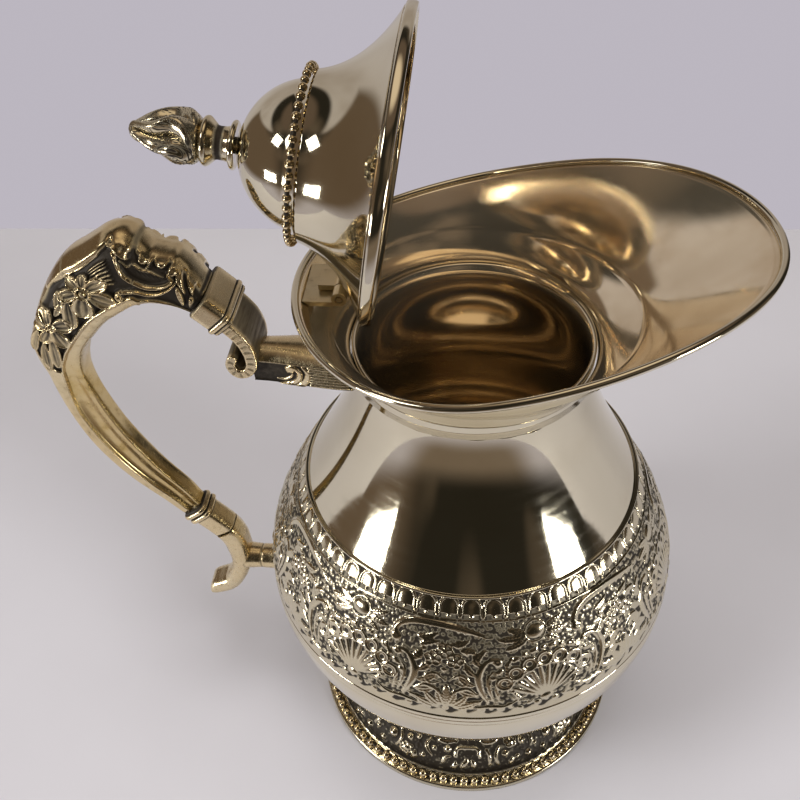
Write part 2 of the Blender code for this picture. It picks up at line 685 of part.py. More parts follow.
def make_hinge():
    bore_r = PIN_R + PIN_FIT
    cheek_w = (HINGE_W - LID_KNUCKLE_W) / 2.0 - CLEARANCE
    cheek_y = HINGE_W / 2.0 - cheek_w / 2.0
    pin_hole = add_cutter("pin_hole", crosswise_cylinder("pin_hole", bore_r, HINGE_W * 1.4))
    pin_hole.location = (HINGE_X, 0.0, HINGE_Z)
    plate_top = -KNUCKLE_R * 0.38
    plate_end = -(RIM_REAR - LEAF_T) - HINGE_X
    plate = box_mesh("hinge_body_leaf", (plate_end, -HINGE_W / 2.0, plate_top - LEAF_T),
                     (-KNUCKLE_R - CLEARANCE, HINGE_W / 2.0, plate_top))
    leaf = add_part("hinge_body_leaf", plate, PALE_BRASS, 0.2)
    leaf.location = (HINGE_X, 0.0, HINGE_Z)
    for side in (-1, 1):
        name = "body_knuckle_" + ("near" if side < 0 else "far")
        barrel = add_cutter(name, crosswise_cylinder(name, KNUCKLE_R, cheek_w))
        barrel.location = (HINGE_X, side * cheek_y, HINGE_Z)
        arm_w = cheek_w / 2.0 - ARM_INSET
        arm_low = (-KNUCKLE_R * 1.6, -arm_w, plate_top - LEAF_T + ARM_INSET)
        arm_high = (-ARM_INSET, arm_w, plate_top - ARM_INSET)
        arm = add_cutter(name + "_arm", box_mesh(name + "_arm", arm_low, arm_high))
        arm.location = (HINGE_X, side * cheek_y, HINGE_Z)
        add_boolean(leaf, barrel, "UNION")
        add_boolean(leaf, arm, "UNION")
    add_boolean(leaf, pin_hole)
    add_boolean(leaf, around_collar)

    pin = add_part("hinge_pin", crosswise_cylinder("hinge_pin", PIN_R, HINGE_W, 12), YELLOW_BRASS, 0.3)
    pin.location = (HINGE_X, 0.0, HINGE_Z)

    barrel = crosswise_cylinder("hinge_lid_leaf", KNUCKLE_R, LID_KNUCKLE_W - CLEARANCE)
    lid_leaf = add_part("hinge_lid_leaf", barrel, PALE_BRASS, 0.2, lid_hinge)
    strap = box_mesh("lid_strap", (0.0, -LID_KNUCKLE_W / 2.0 + CLEARANCE, -LEAF_T * 0.6),
                     (LID_RIM_R * 0.26, LID_KNUCKLE_W / 2.0 - CLEARANCE, LEAF_T * 0.6))
    strap_cutter = add_cutter("lid_strap", strap)
    strap_cutter.parent = lid_hinge
    add_boolean(lid_leaf, strap_cutter, "UNION")
    # the heel is laid out as it stands with the lid open, flat over the body leaf
    heel_low = plate_top + CLEARANCE
    heel_y = LID_KNUCKLE_W / 2.0 - CLEARANCE
    heel_box = box_mesh("stop_heel", (-HEEL_L, -heel_y, heel_low), (0.0, heel_y, heel_low + LEAF_T * 1.1))
    heel = add_cutter("stop_heel", heel_box)
    heel.location = (HINGE_X, 0.0, HINGE_Z)
    add_boolean(lid_leaf, heel, "UNION")
    lid_pin_hole = add_cutter("lid_pin_hole", crosswise_cylinder("lid_pin_hole", bore_r, HINGE_W))
    lid_pin_hole.parent = lid_hinge
    add_boolean(lid_leaf, lid_pin_hole)
    add_boolean(lid_leaf, lid_clearance_cutter())


make_hinge()


# Handle route in the XZ plane. The scrolls are laid out from their anchors, in shares of rise and drop,
# and the grip between them: first the share of the way down, then the share of the reach outwards.
BRACKET_Z = NECK_TOP_Z - BRACKET_DROP
upper_anchor = Vector((-(NECK_R + BRACKET_LEN), NECK_TOP_Z - CURL_DROP))
lower_anchor = Vector((-(body_radius(STEM_Z) + STEM_LEN), STEM_Z))
UPPER_CURL = ((-0.669, 0.182), (-0.714, 0.052), (-0.675, -0.091), (-0.571, -0.169), (-0.422, -0.130),
              (-0.318, 0.013), (-0.299, 0.195), (-0.318, 0.370), (-0.383, 0.591), (-0.494, 0.779),
              (-0.675, 1.0))
GRIP_ROUTE = ((-0.212, 0.352), (-0.256, 0.467), (-0.296, 0.650), (-0.254, 0.811), (-0.155, 0.928),
              (-0.032, 0.992), (0.124, 0.961), (0.323, 0.822), (0.507, 0.616), (0.642, 0.413),
              (0.709, 0.316))
LOWER_CURL = ((-0.111, 0.917), (0.017, 0.317), (-0.028, -0.233), (-0.289, -0.778), (-0.622, -1.0))


def grip_point(drop, out):
    point = upper_anchor.lerp(lower_anchor, drop)
    return Vector((point.x - out * GRIP_REACH, point.y))


def catmull(points, per_span):
    # a smooth line through points chosen by hand
    line = []
    for k in range(len(points) - 1):
        p0 = points[max(k - 1, 0)]
        p1, p2 = points[k], points[k + 1]
        p3 = points[min(k + 2, len(points) - 1)]
        for step in range(per_span):
            t = step / per_span
            line.append(0.5 * ((2 * p1) + (p2 - p0) * t + (2 * p0 - 5 * p1 + 4 * p2 - p3) * t * t
                               + (3 * p1 - p0 - 3 * p2 + p3) * t ** 3))
    line.append(points[-1].copy())
    return line


upper_points = [upper_anchor + Vector(p) * UPPER_SCROLL_RISE for p in UPPER_CURL]
grip_points = [grip_point(*p) for p in GRIP_ROUTE]
lower_points = [lower_anchor + Vector(p) * LOWER_SCROLL_DROP for p in LOWER_CURL]
route = catmull(upper_points + grip_points + lower_points, PER_SPAN)
lengths = [0.0]
for before, after in zip(route, route[1:]):
    lengths.append(lengths[-1] + (after - before).length)
GRIP_FROM = lengths[PER_SPAN * len(upper_points)]
GRIP_TO = lengths[PER_SPAN * (len(upper_points) + len(grip_points) - 1)]


def route_at(distance):
    # point and direction along the route
    distance = min(max(distance, 0.0), lengths[-1])
    for k in range(len(route) - 1):
        if distance <= lengths[k + 1]:
            break
    span = lengths[k + 1] - lengths[k]
    point = route[k].lerp(route[k + 1], (distance - lengths[k]) / span)
    before = route[max(k - 1, 0)]
    after = route[min(k + 2, len(route) - 1)]
    return point, (after - before).normalized()


def section_ring(distance, half_t, half_w, power, hollow, shift=0.0, sides=16):
    # superellipse across the route, with side faces that can be drawn in
    point, along = route_at(distance)
    outward = Vector((along.y, -along.x))
    ring = []
    for k in range(sides):
        angle = 2.0 * math.pi * (k + 0.5) / sides
        c, s = math.cos(angle), math.sin(angle)
        across = math.copysign(abs(c) ** power, c)
        side = math.copysign(abs(s) ** power, s) * (1.0 - hollow * (1.0 - across * across))
        place = point + outward * (half_t * across + shift)
        ring.append(Vector((place.x, half_w * side, place.y)))
    return ring


def blend(low, high, share):
    share = min(max(share, 0.0), 1.0)
    share = share * share * (3.0 - 2.0 * share)
    return low + (high - low) * share


def grip_side(share):
    # half width, and how far the cheeks are drawn in
    thin = blend(0.0, 1.0, (share - 0.33) / 0.27)
    taper = blend(1.0, 0.94, (share - 0.6) / 0.4)
    return blend(GRIP_TOP_W, GRIP_LOW_W, thin) / 2.0 * taper, blend(0.0, GRIP_LOW_HOLLOW, thin)


def tongue_half(share):
    # half thickness and half width of the stepped end that enters a ferrule
    end = GRIP_SHAPE[0] if share == 0.0 else GRIP_SHAPE[-1]
    return end[1] * GRIP_T - TONGUE_INSET, grip_side(share)[0] - TONGUE_INSET


def bump(share, middle, width, height):
    return height * math.exp(-((share - middle) / width) ** 2)


def make_grip():
    sections = []
    for share, outwards, inwards in GRIP_SHAPE:
        distance = GRIP_FROM + (GRIP_TO - GRIP_FROM) * share
        half_t = (outwards + inwards) / 2.0 * GRIP_T
        shift = (outwards - inwards) / 2.0 * GRIP_T
        half_w, hollow = grip_side(share)
        sections.append(section_ring(distance, half_t, half_w, SECTION_POWER, hollow, shift))
    half_t, half_w = tongue_half(0.0)
    upper_tongue = [section_ring(distance, half_t, half_w, SECTION_POWER, 0.0)
                    for distance in (GRIP_FROM - TONGUE_LEN, GRIP_FROM)]
    half_t, half_w = tongue_half(1.0)
    lower_tongue = [section_ring(distance, half_t, half_w, SECTION_POWER, 0.0)
                    for distance in (GRIP_TO, GRIP_TO + TONGUE_LEN)]
    sections = upper_tongue + sections + lower_tongue
    mesh = loft_mesh("handle_grip", sections, caps=True)
    smooth(add_part("handle_grip", mesh, YELLOW_BRASS, 0.3), 45)


make_grip()


def ferrule_stations(start, end, ring_places):
    # places along the route, each with how much of the ring's height it has
    stations = [(start, 0.0)]
    for place in ring_places:
        stations += [(place - RING_FOOT, 0.0), (place - RING_CREST, 1.0),
                     (place + RING_CREST, 1.0), (place + RING_FOOT, 0.0)]
    return stations + [(end, 0.0)]


def ferrule_mesh(name, share, stations, bore, ring_h, cheek, power, closed):
    # bore is where the hole for the tongue runs, cheek what the side walls have over the others
    half_t, half_w = tongue_half(share)
    in_t, in_w = half_t + CLEARANCE, half_w + CLEARANCE
    out_t, out_w = in_t + FERRULE_WALL, in_w + FERRULE_WALL + cheek
    outer = [section_ring(place, out_t + ring_h * raised, out_w + ring_h * raised, power, 0.0)
             for place, raised in stations]
    inner = [section_ring(bore[0] + (bore[1] - bore[0]) * k / 3, in_t, in_w, SECTION_POWER, 0.0)
             for k in range(4)]
    return tube_mesh(name, outer, inner, closed)


def make_ferrules():
    # the upper one is a cup of box section, closed towards the strap, with one low ring there
    stations = ferrule_stations(upper_start, upper_end, [upper_start + RING_FOOT * 2.0])
    mesh = ferrule_mesh("upper_ferrule", 0.0, stations, (upper_start + FERRULE_END_T, upper_end),
                        UPPER_RING_H, FERRULE_CHEEK, BOX_POWER, True)
    smooth(add_part("upper_ferrule", mesh, YELLOW_BRASS, 0.3), 40)
    # the lower one is a sleeve with two rounded rings at the grip's end
    first = lower_start + RING_FOOT * 1.45
    stations = ferrule_stations(lower_start, lower_end, [first, first + RING_FOOT * 2.36])
    mesh = ferrule_mesh("lower_ferrule", 1.0, stations, (lower_start, lower_end),
                        LOWER_RING_H, 0.0, SECTION_POWER, False)
    smooth(add_part("lower_ferrule", mesh, YELLOW_BRASS, 0.3), 40)


upper_end = GRIP_FROM - CLEARANCE
lower_start = GRIP_TO + CLEARANCE
upper_start = upper_end - UPPER_FERRULE_LEN
lower_end = lower_start + LOWER_FERRULE_LEN
make_ferrules()


# Scrolls: flat outlines along the route, extruded across and rounded
def scroll_outline(start, end, half_at, steps):
    near, far = [], []
    for k in range(steps + 1):
        distance = start + (end - start) * k / steps
        point, along = route_at(distance)
        outward = Vector((-along.y, along.x))
        half = half_at(distance)
        near.append(point + outward * half)
        far.append(point - outward * half)
    return near + list(reversed(far))


def round_end(outline_start, direction, half, steps):
    # half circle that closes a curl
    side = Vector((-direction.y, direction.x))
    cap = []
    for k in range(1, steps):
        angle = math.pi * k / steps
        cap.append(outline_start + side * half * math.cos(angle) + direction * half * math.sin(angle))
    return cap


def extruded_scroll(name, outline, width, color):
    curve = bpy.data.curves.new(name, "CURVE")
    curve.dimensions = "2D"
    curve.fill_mode = "BOTH"
    curve.extrude = width / 2.0 - SCROLL_ROUNDING
    curve.bevel_depth = SCROLL_ROUNDING
    curve.bevel_resolution = 1
    curve.offset = -SCROLL_ROUNDING
    spline = curve.splines.new("POLY")
    spline.points.add(len(outline) - 1)
    spline.use_cyclic_u = True
    for target, point in zip(spline.points, outline):
        target.co = (point.x, point.y, 0.0, 1.0)
    made = add_part(name, curve, color, 0.25)
    made.rotation_euler = (math.pi / 2.0, 0.0, 0.0)
    return made


STRAP_END = upper_start - CLEARANCE
LOWER_START = lower_end + CLEARANCE
ROUTE_END = lengths[-1]


def upper_half(distance):
    return blend(CURL_T, STRAP_T, distance / STRAP_END) / 2.0


def lower_half(distance):
    share = (distance - LOWER_START) / (ROUTE_END - LOWER_START)
    return blend(LOWER_STRAP_T, LOWER_CURL_T, share) / 2.0 + bump(share, 0.95, 0.14, LOWER_KNOB)


def prism_cutter(name, outline, width):
    # outline in the XZ plane, drawn out across the handle
    bm = bmesh.new()
    face = bm.faces.new([bm.verts.new((p.x, -width / 2.0, p.y)) for p in outline])
    moved = bmesh.ops.extrude_face_region(bm, geom=[face])
    lifted = [v for v in moved["geom"] if isinstance(v, bmesh.types.BMVert)]
    bmesh.ops.translate(bm, vec=(0.0, width, 0.0), verts=lifted)
    bmesh.ops.recalc_face_normals(bm, faces=bm.faces)
    mesh = bpy.data.meshes.new(name)
    bm.to_mesh(mesh)
    bm.free()
    return add_cutter(name, mesh)


def make_scrolls():
    outline = scroll_outline(0.0, STRAP_END, upper_half, 26)
    point, along = route_at(0.0)
    outline += round_end(point, -along, upper_half(0.0), 5)
    extruded_scroll("handle_upper_scroll", outline, STRAP_W, YELLOW_BRASS)
    outline = scroll_outline(LOWER_START, ROUTE_END, lower_half, 18)
    point, along = route_at(ROUTE_END)
    cap = round_end(point, along, lower_half(ROUTE_END), 6)
    outline = outline[:19] + cap + outline[19:]
    extruded_scroll("handle_lower_scroll", outline, LOWER_SCROLL_W, YELLOW_BRASS)


make_scrolls()


def scroll_clearance(name, start, end, half_at, width):
    outline = scroll_outline(start, end, lambda distance: half_at(distance) + CLEARANCE, 30)
    return prism_cutter(name, outline, width * 2.0)


around_upper_scroll = scroll_clearance("upper_scroll_clearance", 0.0, STRAP_END, upper_half, STRAP_W)
around_lower_scroll = scroll_clearance("lower_scroll_clearance", LOWER_START, ROUTE_END, lower_half,
                                       LOWER_SCROLL_W)


def neck_clearance_cutter():
    # solid plug: the neck with the collar's skirt round it, and the body below, all grown by the clearance
    skirt_r = NECK_R + 2.0 * CLEARANCE + COLLAR_WALL
    heights = [SKIRT_Z - 0.001 - (SKIRT_Z - 0.001 - BODY_BOTTOM_Z) * k / 40 for k in range(41)]
    points = [(0.0, NECK_TOP_Z + 0.001), (skirt_r + 0.0004, NECK_TOP_Z + 0.001), (skirt_r, SKIRT_Z + 0.002),
              (skirt_r, SKIRT_Z - CLEARANCE)]
    points += [(body_radius(z) + CLEARANCE * 1.15, z) for z in heights if z < SKIRT_Z - CLEARANCE * 2.0]
    points += [(0.0, BODY_BOTTOM_Z)]
    return turned_cutter("neck_and_belly_clearance", points)


around_body = neck_clearance_cutter()


def bracket_ring(x, share):
    # upright section of the bracket: a rounded block whose two cheeks carry the reeds
    half_w = BRACKET_W / 2.0 * blend(BRACKET_TAPER_W, 1.0, share)
    height = BRACKET_H * blend(BRACKET_TAPER_H, 1.0, share)
    reed = REED_DEPTH * blend(0.3, 1.0, share)
    crest = BRACKET_Z + BRACKET_H / 2.0
    edge = crest - BRACKET_CROWN
    low = crest - height
    cheeks = []
    rows = BRACKET_REEDS * 2
    for k in range(rows + 1):
        down = k / rows
        out = half_w * (1.0 - 0.12 * down) - (0.0 if k % 2 else reed)
        cheeks.append((out, edge + (low + reed - edge) * down))
    far = [Vector((x, out, z)) for out, z in cheeks]
    near = [Vector((x, -out, z)) for out, z in reversed(cheeks)]
    return [Vector((x, 0.0, crest))] + far + [Vector((x, 0.0, low))] + near


def make_bracket():
    # from inside the strap to inside the neck, then cut back to both
    start = upper_anchor.x - BRACKET_INSET
    end = -(NECK_R - BODY_WALL)
    sections = []
    count = 6
    for k in range(count + 1):
        share = k / count
        x = start + (end - start) * share
        sections.append(bracket_ring(x, share))
    bracket = add_part("handle_bracket", loft_mesh("handle_bracket", sections, caps=True), CHASED_BRASS, 0.25)
    smooth(bracket, 25)
    add_boolean(bracket, around_body)
    add_boolean(bracket, around_upper_scroll)


make_bracket()


def make_stem():
    # waisted stem from the lower scroll to the belly, turned about the X axis
    far_x = lower_anchor.x
    near_x = -(body_radius(STEM_Z) - STEM_R)
    turns = [2.0 * math.pi * k / ROUND_SIDES for k in range(ROUND_SIDES)]
    sections = []
    count = 8
    for k in range(count + 1):
        share = k / count
        x = far_x + (near_x - far_x) * share
        r = STEM_R - STEM_WAIST * math.sin(math.pi * min(share * 1.25, 1.0))
        sections.append([Vector((x, r * math.cos(a), STEM_Z + r * math.sin(a))) for a in turns])
    stem = add_part("handle_stem", loft_mesh("handle_stem", sections, caps=True), YELLOW_BRASS, 0.15)
    smooth(stem, 40)
    add_boolean(stem, around_body)
    add_boolean(stem, around_lower_scroll)


make_stem()


def centre_on_footprint():
    # the origin lies on the table, in the middle of everything the jug covers
    bpy.context.view_layer.update()
    depsgraph = bpy.context.evaluated_depsgraph_get()
    xs = []
    for obj in parts.objects:
        if obj.type == "EMPTY":
            continue
        solid = obj.evaluated_get(depsgraph)
        mesh = solid.to_mesh()
        xs += [(obj.matrix_world @ v.co).x for v in mesh.vertices]
        solid.to_mesh_clear()
    jug_axis.location.x = -(min(xs) + max(xs)) / 2.0
    bpy.context.view_layer.update()
    print("jug axis at x =", round(jug_axis.location.x, 6))


centre_on_footprint()
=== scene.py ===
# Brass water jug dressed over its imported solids: raised body with a chased band, helmet spout,
# cast foot, scroll handle and the open bell lid. Sizes in the dictionaries are millimetres.
import math
import bpy
import numpy as np
from mathutils import Matrix, Vector


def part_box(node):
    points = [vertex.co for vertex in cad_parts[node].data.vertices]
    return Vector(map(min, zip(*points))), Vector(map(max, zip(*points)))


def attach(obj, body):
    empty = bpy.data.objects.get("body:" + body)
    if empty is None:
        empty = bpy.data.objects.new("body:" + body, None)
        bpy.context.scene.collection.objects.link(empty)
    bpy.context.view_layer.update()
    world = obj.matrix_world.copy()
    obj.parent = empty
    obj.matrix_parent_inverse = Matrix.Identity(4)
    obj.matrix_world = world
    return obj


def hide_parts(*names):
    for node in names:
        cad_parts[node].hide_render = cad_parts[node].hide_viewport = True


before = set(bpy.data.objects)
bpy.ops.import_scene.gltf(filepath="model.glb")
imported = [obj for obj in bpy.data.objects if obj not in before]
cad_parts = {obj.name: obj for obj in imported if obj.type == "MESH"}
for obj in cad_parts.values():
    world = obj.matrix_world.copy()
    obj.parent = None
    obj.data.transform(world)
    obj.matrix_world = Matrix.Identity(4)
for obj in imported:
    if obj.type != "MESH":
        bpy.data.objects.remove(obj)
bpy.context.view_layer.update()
bodyLow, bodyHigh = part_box("body_shell")
axisX = (bodyLow.x + bodyHigh.x) / 2          # the jug's own axis stands here in the row frame
mm = 0.001
onAxis = Matrix.Translation((axisX, 0, 0))
print("frame loaded, jug axis at", round(axisX, 6))


# mesh helpers: points are given in mm about the jug's axis
def signedVolume(verts, faces):
    total = 0.0
    for k in range(2, faces.shape[1]):
        a, b, c = verts[faces[:, 0]], verts[faces[:, k - 1]], verts[faces[:, k]]
        total += float(np.einsum("ij,ij->i", a, np.cross(b, c)).sum())
    return total


def turnSteps(count):
    return 2 * math.pi * np.arange(count) / count


def polar(radius, height, angle):
    # points on circles about the axis; columns of radius and height give a row for each circle
    return np.stack(np.broadcast_arrays(radius * np.cos(angle), radius * np.sin(angle), height), -1)


def wound(line, angle):
    # points of (r, z), or a row of them for each circle, carried round the axis
    line = line if line.ndim == 3 else line[:, None]
    return polar(line[..., 0], line[..., 1], angle)


def buildMesh(name, verts, quads, extra=(), place=None, marks=None):
    # quads is an array, extra holds fans and n-gons; closed pieces are turned the right way out
    verts = np.asarray(verts, float)
    quads = np.asarray(quads, int).reshape(-1, 4)
    tris = [(poly[0], poly[k - 1], poly[k]) for poly in extra for k in range(2, len(poly))]
    volume = signedVolume(verts, quads)
    if tris:
        volume += signedVolume(verts, np.array(tris))
    polys = quads.tolist() + [list(poly) for poly in extra]
    if volume < 0:
        polys = [poly[::-1] for poly in polys]
    mesh = bpy.data.meshes.new(name)
    mesh.from_pydata((verts * mm).tolist(), [], polys)
    for key, values in (marks or {}).items():
        mark = mesh.attributes.new(key, "FLOAT", "POINT")
        mark.data.foreach_set("value", np.asarray(values, np.float32).ravel())
    mesh.transform(place or onAxis)
    mesh.shade_smooth()
    mesh.update()
    return mesh


def newObject(name, data):
    made = bpy.data.objects.new(name, data)
    bpy.context.scene.collection.objects.link(made)
    return made


def addPiece(name, mesh, material, body="jug", nodes=()):
    made = newObject(name, mesh)
    mesh.materials.clear()
    mesh.materials.append(material)
    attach(made, body)
    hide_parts(*nodes)


def gridQuads(rows, cols, wrapRows=False, wrapCols=False, first=0):
    index = first + np.arange(rows * cols).reshape(rows, cols)
    if wrapRows:
        index = np.concatenate([index, index[:1]])
    if wrapCols:
        index = np.concatenate([index, index[:, :1]], axis=1)
    return np.stack([index[:-1, :-1], index[1:, :-1], index[1:, 1:], index[:-1, 1:]], -1).reshape(-1, 4)


def tubeMesh(name, grid, place=None, marks=None, wrapRows=False):
    # rows of closed sections; the two ends get a face each, or the rows run in a loop
    rows, cols = grid.shape[:2]
    quads = gridQuads(rows, cols, wrapRows, True)
    ends = () if wrapRows else (tuple(range(cols)), tuple(range((rows - 1) * cols, rows * cols))[::-1])
    return buildMesh(name, grid.reshape(-1, 3), quads, ends, place, marks)


def turnedMesh(name, profile, steps, place=None, marks=None):
    # profile of (r, z) down the outer side; a point on the axis at both ends makes closed poles
    profile = np.asarray(profile, float)
    poles = profile[0, 0] == 0 and profile[-1, 0] == 0
    line = profile[1:-1] if poles else profile
    rows = len(line)
    quads = gridQuads(rows, steps, not poles, True)
    verts = wound(line, turnSteps(steps)).reshape(-1, 3)
    extra = []
    if poles:
        verts = np.concatenate([verts, [[0, 0, profile[0, 1]], [0, 0, profile[-1, 1]]]])
        top, bottom = rows * steps, rows * steps + 1
        last = (rows - 1) * steps
        extra = [(top, k, (k + 1) % steps) for k in range(steps)]
        extra += [(bottom, last + (k + 1) % steps, last + k) for k in range(steps)]
    if marks:
        marks = {key: np.concatenate([np.repeat(np.asarray(v, float)[1:-1] if poles else v, steps),
                                      [v[0], v[-1]] if poles else []]) for key, v in marks.items()}
    return buildMesh(name, verts, quads, extra, place, marks)


def bezier(curve, share):
    a, b, c, d = (np.array(p, float) for p in curve)
    t = np.asarray(share, float)[..., None]
    s = 1 - t
    return s ** 3 * a + 3 * s * s * t * b + 3 * s * t * t * c + t ** 3 * d


def smoothStep(value, low, high):
    share = np.clip((value - low) / (high - low), 0, 1)
    return share * share * (3 - 2 * share)


def roundOff(share):
    # a round hump, 1 in its middle and 0 from 1 on
    return np.sqrt(np.clip(1 - share ** 2, 0, 1))


def bump(value, middle, width):
    return np.exp(-((value - middle) / width) ** 2)


def leftOf(slope):
    # unit vectors to the left of the directions
    slope = slope / np.linalg.norm(slope, axis=-1, keepdims=True)
    return np.stack([-slope[..., 1], slope[..., 0]], -1)


def insideOf(points, wall):
    # a profile moved square to itself by the wall
    return points - leftOf(np.gradient(points, axis=0)) * wall


def outwardNormals(grid):
    # normals of a sheet wound round the axis
    normal = np.cross(np.roll(grid, -1, 1) - np.roll(grid, 1, 1), np.gradient(grid, axis=0))
    normal *= np.sign(np.einsum("ijk,ijk->ij", normal, grid * (1, 1, 0)))[..., None]
    return normal / np.linalg.norm(normal, axis=-1, keepdims=True)


class Path:
    # a flat line, read by the length run along it
    def __init__(self, line):
        self.line = line
        self.run = np.concatenate([[0], np.cumsum(np.linalg.norm(np.diff(line, axis=0), axis=1))])
        self.slope = np.gradient(line, self.run, axis=0)

    def at(self, run):
        # point, and the side to the left of the line there
        point, slope = (np.stack([np.interp(run, self.run, part[:, k]) for k in (0, 1)], -1)
                        for part in (self.line, self.slope))
        return point, leftOf(slope)


# node helpers: arithmetic on sockets adds Math nodes
class Wire:
    def __init__(self, socket):
        self.socket = socket
        self.tree = socket.id_data

    def math(self, operation, *others):
        return makeNode(self.tree, "ShaderNodeMath", {"operation": operation}, [self, *others])

    def __add__(self, other):
        return self.math("ADD", other)

    def __sub__(self, other):
        return self.math("SUBTRACT", other)

    def __rsub__(self, other):
        return makeNode(self.tree, "ShaderNodeMath", {"operation": "SUBTRACT"}, [other, self])

    def __mul__(self, other):
        return self.math("MULTIPLY", other)

    def __pow__(self, other):
        return self.math("POWER", other)

    __radd__ = __add__
    __rmul__ = __mul__

    def clamp(self):
        return makeNode(self.tree, "ShaderNodeMath", {"operation": "ADD", "use_clamp": True}, [self, 0.0])

    def step(self, low, high):
        # smooth rise from 0 at low to 1 at high
        return makeNode(self.tree, "ShaderNodeMapRange", {"interpolation_type": "SMOOTHSTEP"},
                        {"Value": self, "From Min": low, "From Max": high})


def makeNode(tree, kind, settings=None, values=None, output=0):
    # settings first, then the sockets; a "curve" setting fills a float curve
    node = tree.nodes.new(kind)
    for key, value in (settings or {}).items():
        if key == "curve":
            points = node.mapping.curves[0].points
            while len(points) < len(value):
                points.new(1.0, 0.0)
            for point, place in zip(points, value):
                point.location = place
            node.mapping.update()
        else:
            setattr(node, key, value)
    pairs = values.items() if isinstance(values, dict) else enumerate(values or [])
    for key, value in pairs:
        socket = node.inputs[key]
        if isinstance(value, Wire):
            tree.links.new(value.socket, socket)
        else:
            socket.default_value = value
    return Wire(node.outputs[output])


def mixColour(tree, share, first, second):
    # plain colours come as triples, the share and the colours may be wires
    first, second = (value if isinstance(value, Wire) else (*value, 1.0) for value in (first, second))
    return makeNode(tree, "ShaderNodeMix", {"data_type": "RGBA"}, {0: share, 6: first, 7: second}, 2)


def noise(tree, place, scale, detail, roughness, stretch=None):
    if stretch:
        place = makeNode(tree, "ShaderNodeMapping", {}, {"Vector": place, "Scale": stretch})
    return makeNode(tree, "ShaderNodeTexNoise", {},
                    {"Vector": place, "Scale": scale, "Detail": detail, "Roughness": roughness})


def mark(tree, name):
    return makeNode(tree, "ShaderNodeAttribute", {"attribute_name": name}, None, "Fac")


def splitAxes(tree, place):
    split = tree.nodes.new("ShaderNodeSeparateXYZ")
    tree.links.new(place.socket, split.inputs[0])
    return [Wire(output) for output in split.outputs]


def newMaterial(name):
    made = bpy.data.materials.new(name)
    made.use_nodes = True
    tree = made.node_tree
    place = makeNode(tree, "ShaderNodeTexCoord", None, None, "Object")
    return made, tree, tree.nodes["Principled BSDF"], place


def finishShader(tree, shader, colour, metallic, roughness, height=None, depth=0.0):
    for key, value in (("Base Color", colour), ("Metallic", metallic), ("Roughness", roughness)):
        if isinstance(value, Wire):
            tree.links.new(value.socket, shader.inputs[key])
        else:
            shader.inputs[key].default_value = (*value, 1.0) if key == "Base Color" else value
    if height is not None:
        normal = makeNode(tree, "ShaderNodeBump", {},
                          {"Strength": 1.0, "Distance": depth, "Height": height})
        tree.links.new(normal.socket, shader.inputs["Normal"])


# brass colours: body and lid, their insides, the handle, the dirt in the hollows and the chased work
finish = {"pale": (0.76, 0.70, 0.545), "paleWarm": (0.63, 0.55, 0.39),
          "inside": (0.91, 0.79, 0.59), "insideDark": (0.72, 0.56, 0.35),
          "yellow": (0.77, 0.625, 0.375), "yellowPale": (0.78, 0.67, 0.45),
          "yellowDark": (0.24, 0.175, 0.09), "gold": (0.62, 0.45, 0.17),
          "grime": (0.034, 0.027, 0.019), "chased": (0.64, 0.58, 0.43)}
# scales of the noise patterns, in cells to the metre
cells = {"cloud": 22.0, "wave": 26.0, "stain": 34.0, "patch": 48.0, "wipe": 60.0, "blot": 130.0,
         "drag": 260.0, "grain": 700.0, "speck": 900.0, "pits": 1200.0}


def polishedBrass(name, hasInside=True):
    # mirror polish with wiping marks and a thin warm tarnish, more golden and duller inside the vessel
    made, tree, shader, place = newMaterial(name)
    cloud = noise(tree, place, cells["cloud"], 4.0, 0.6)
    wipe = noise(tree, place, cells["wipe"], 5.0, 0.65, (1.0, 1.0, 9.0))
    speck = noise(tree, place, cells["speck"], 2.0, 0.5)
    colour = mixColour(tree, cloud.step(0.42, 0.74) * 0.55, finish["pale"], finish["paleWarm"])
    rough = 0.05 + wipe.step(0.35, 0.8) * 0.05 + speck.step(0.62, 0.8) * 0.05
    metallic = 1.0
    if hasInside:
        inner = mark(tree, "inside")
        stain = noise(tree, place, cells["stain"], 5.0, 0.62)
        lining = mixColour(tree, stain.step(0.44, 0.74) * 0.6, finish["inside"], finish["insideDark"])
        colour = mixColour(tree, inner, colour, lining)
        rough = rough + inner * (0.02 + stain.step(0.4, 0.7) * 0.08)
        metallic = 1.0 - inner * 0.05
    wave = noise(tree, place, cells["wave"], 1.0, 0.4)
    finishShader(tree, shader, colour, metallic, rough, wave * 0.8 + wipe * 0.012 + speck * 0.004, 0.00016)
    return made


def chasedBrass(name, ground=0.75, warmth=0.0):
    # bright on the raised work, black-brown in the ground and along the foot of every ridge
    made, tree, shader, place = newMaterial(name)
    hollow = mark(tree, "hollow")
    grain = noise(tree, place, cells["grain"], 4.0, 0.6)
    patch = noise(tree, place, cells["wipe"], 3.0, 0.6)
    uneven = (grain - 0.5) * 0.35 * hollow.step(0.05, 0.4)
    dirt = (hollow * (0.75 + patch * 0.6) + uneven).step(0.18, ground)
    metal = mixColour(tree, patch.step(0.35, 0.75) * (0.5 + warmth), finish["chased"], finish["yellowPale"])
    colour = mixColour(tree, dirt, metal, finish["grime"])
    rough = 0.14 + dirt * 0.42 + grain.step(0.5, 0.75) * 0.08
    metallic = 1.0 - dirt * 0.55
    finishShader(tree, shader, colour, metallic, rough, grain * 0.5 + patch * 0.2, 0.00003)
    return made


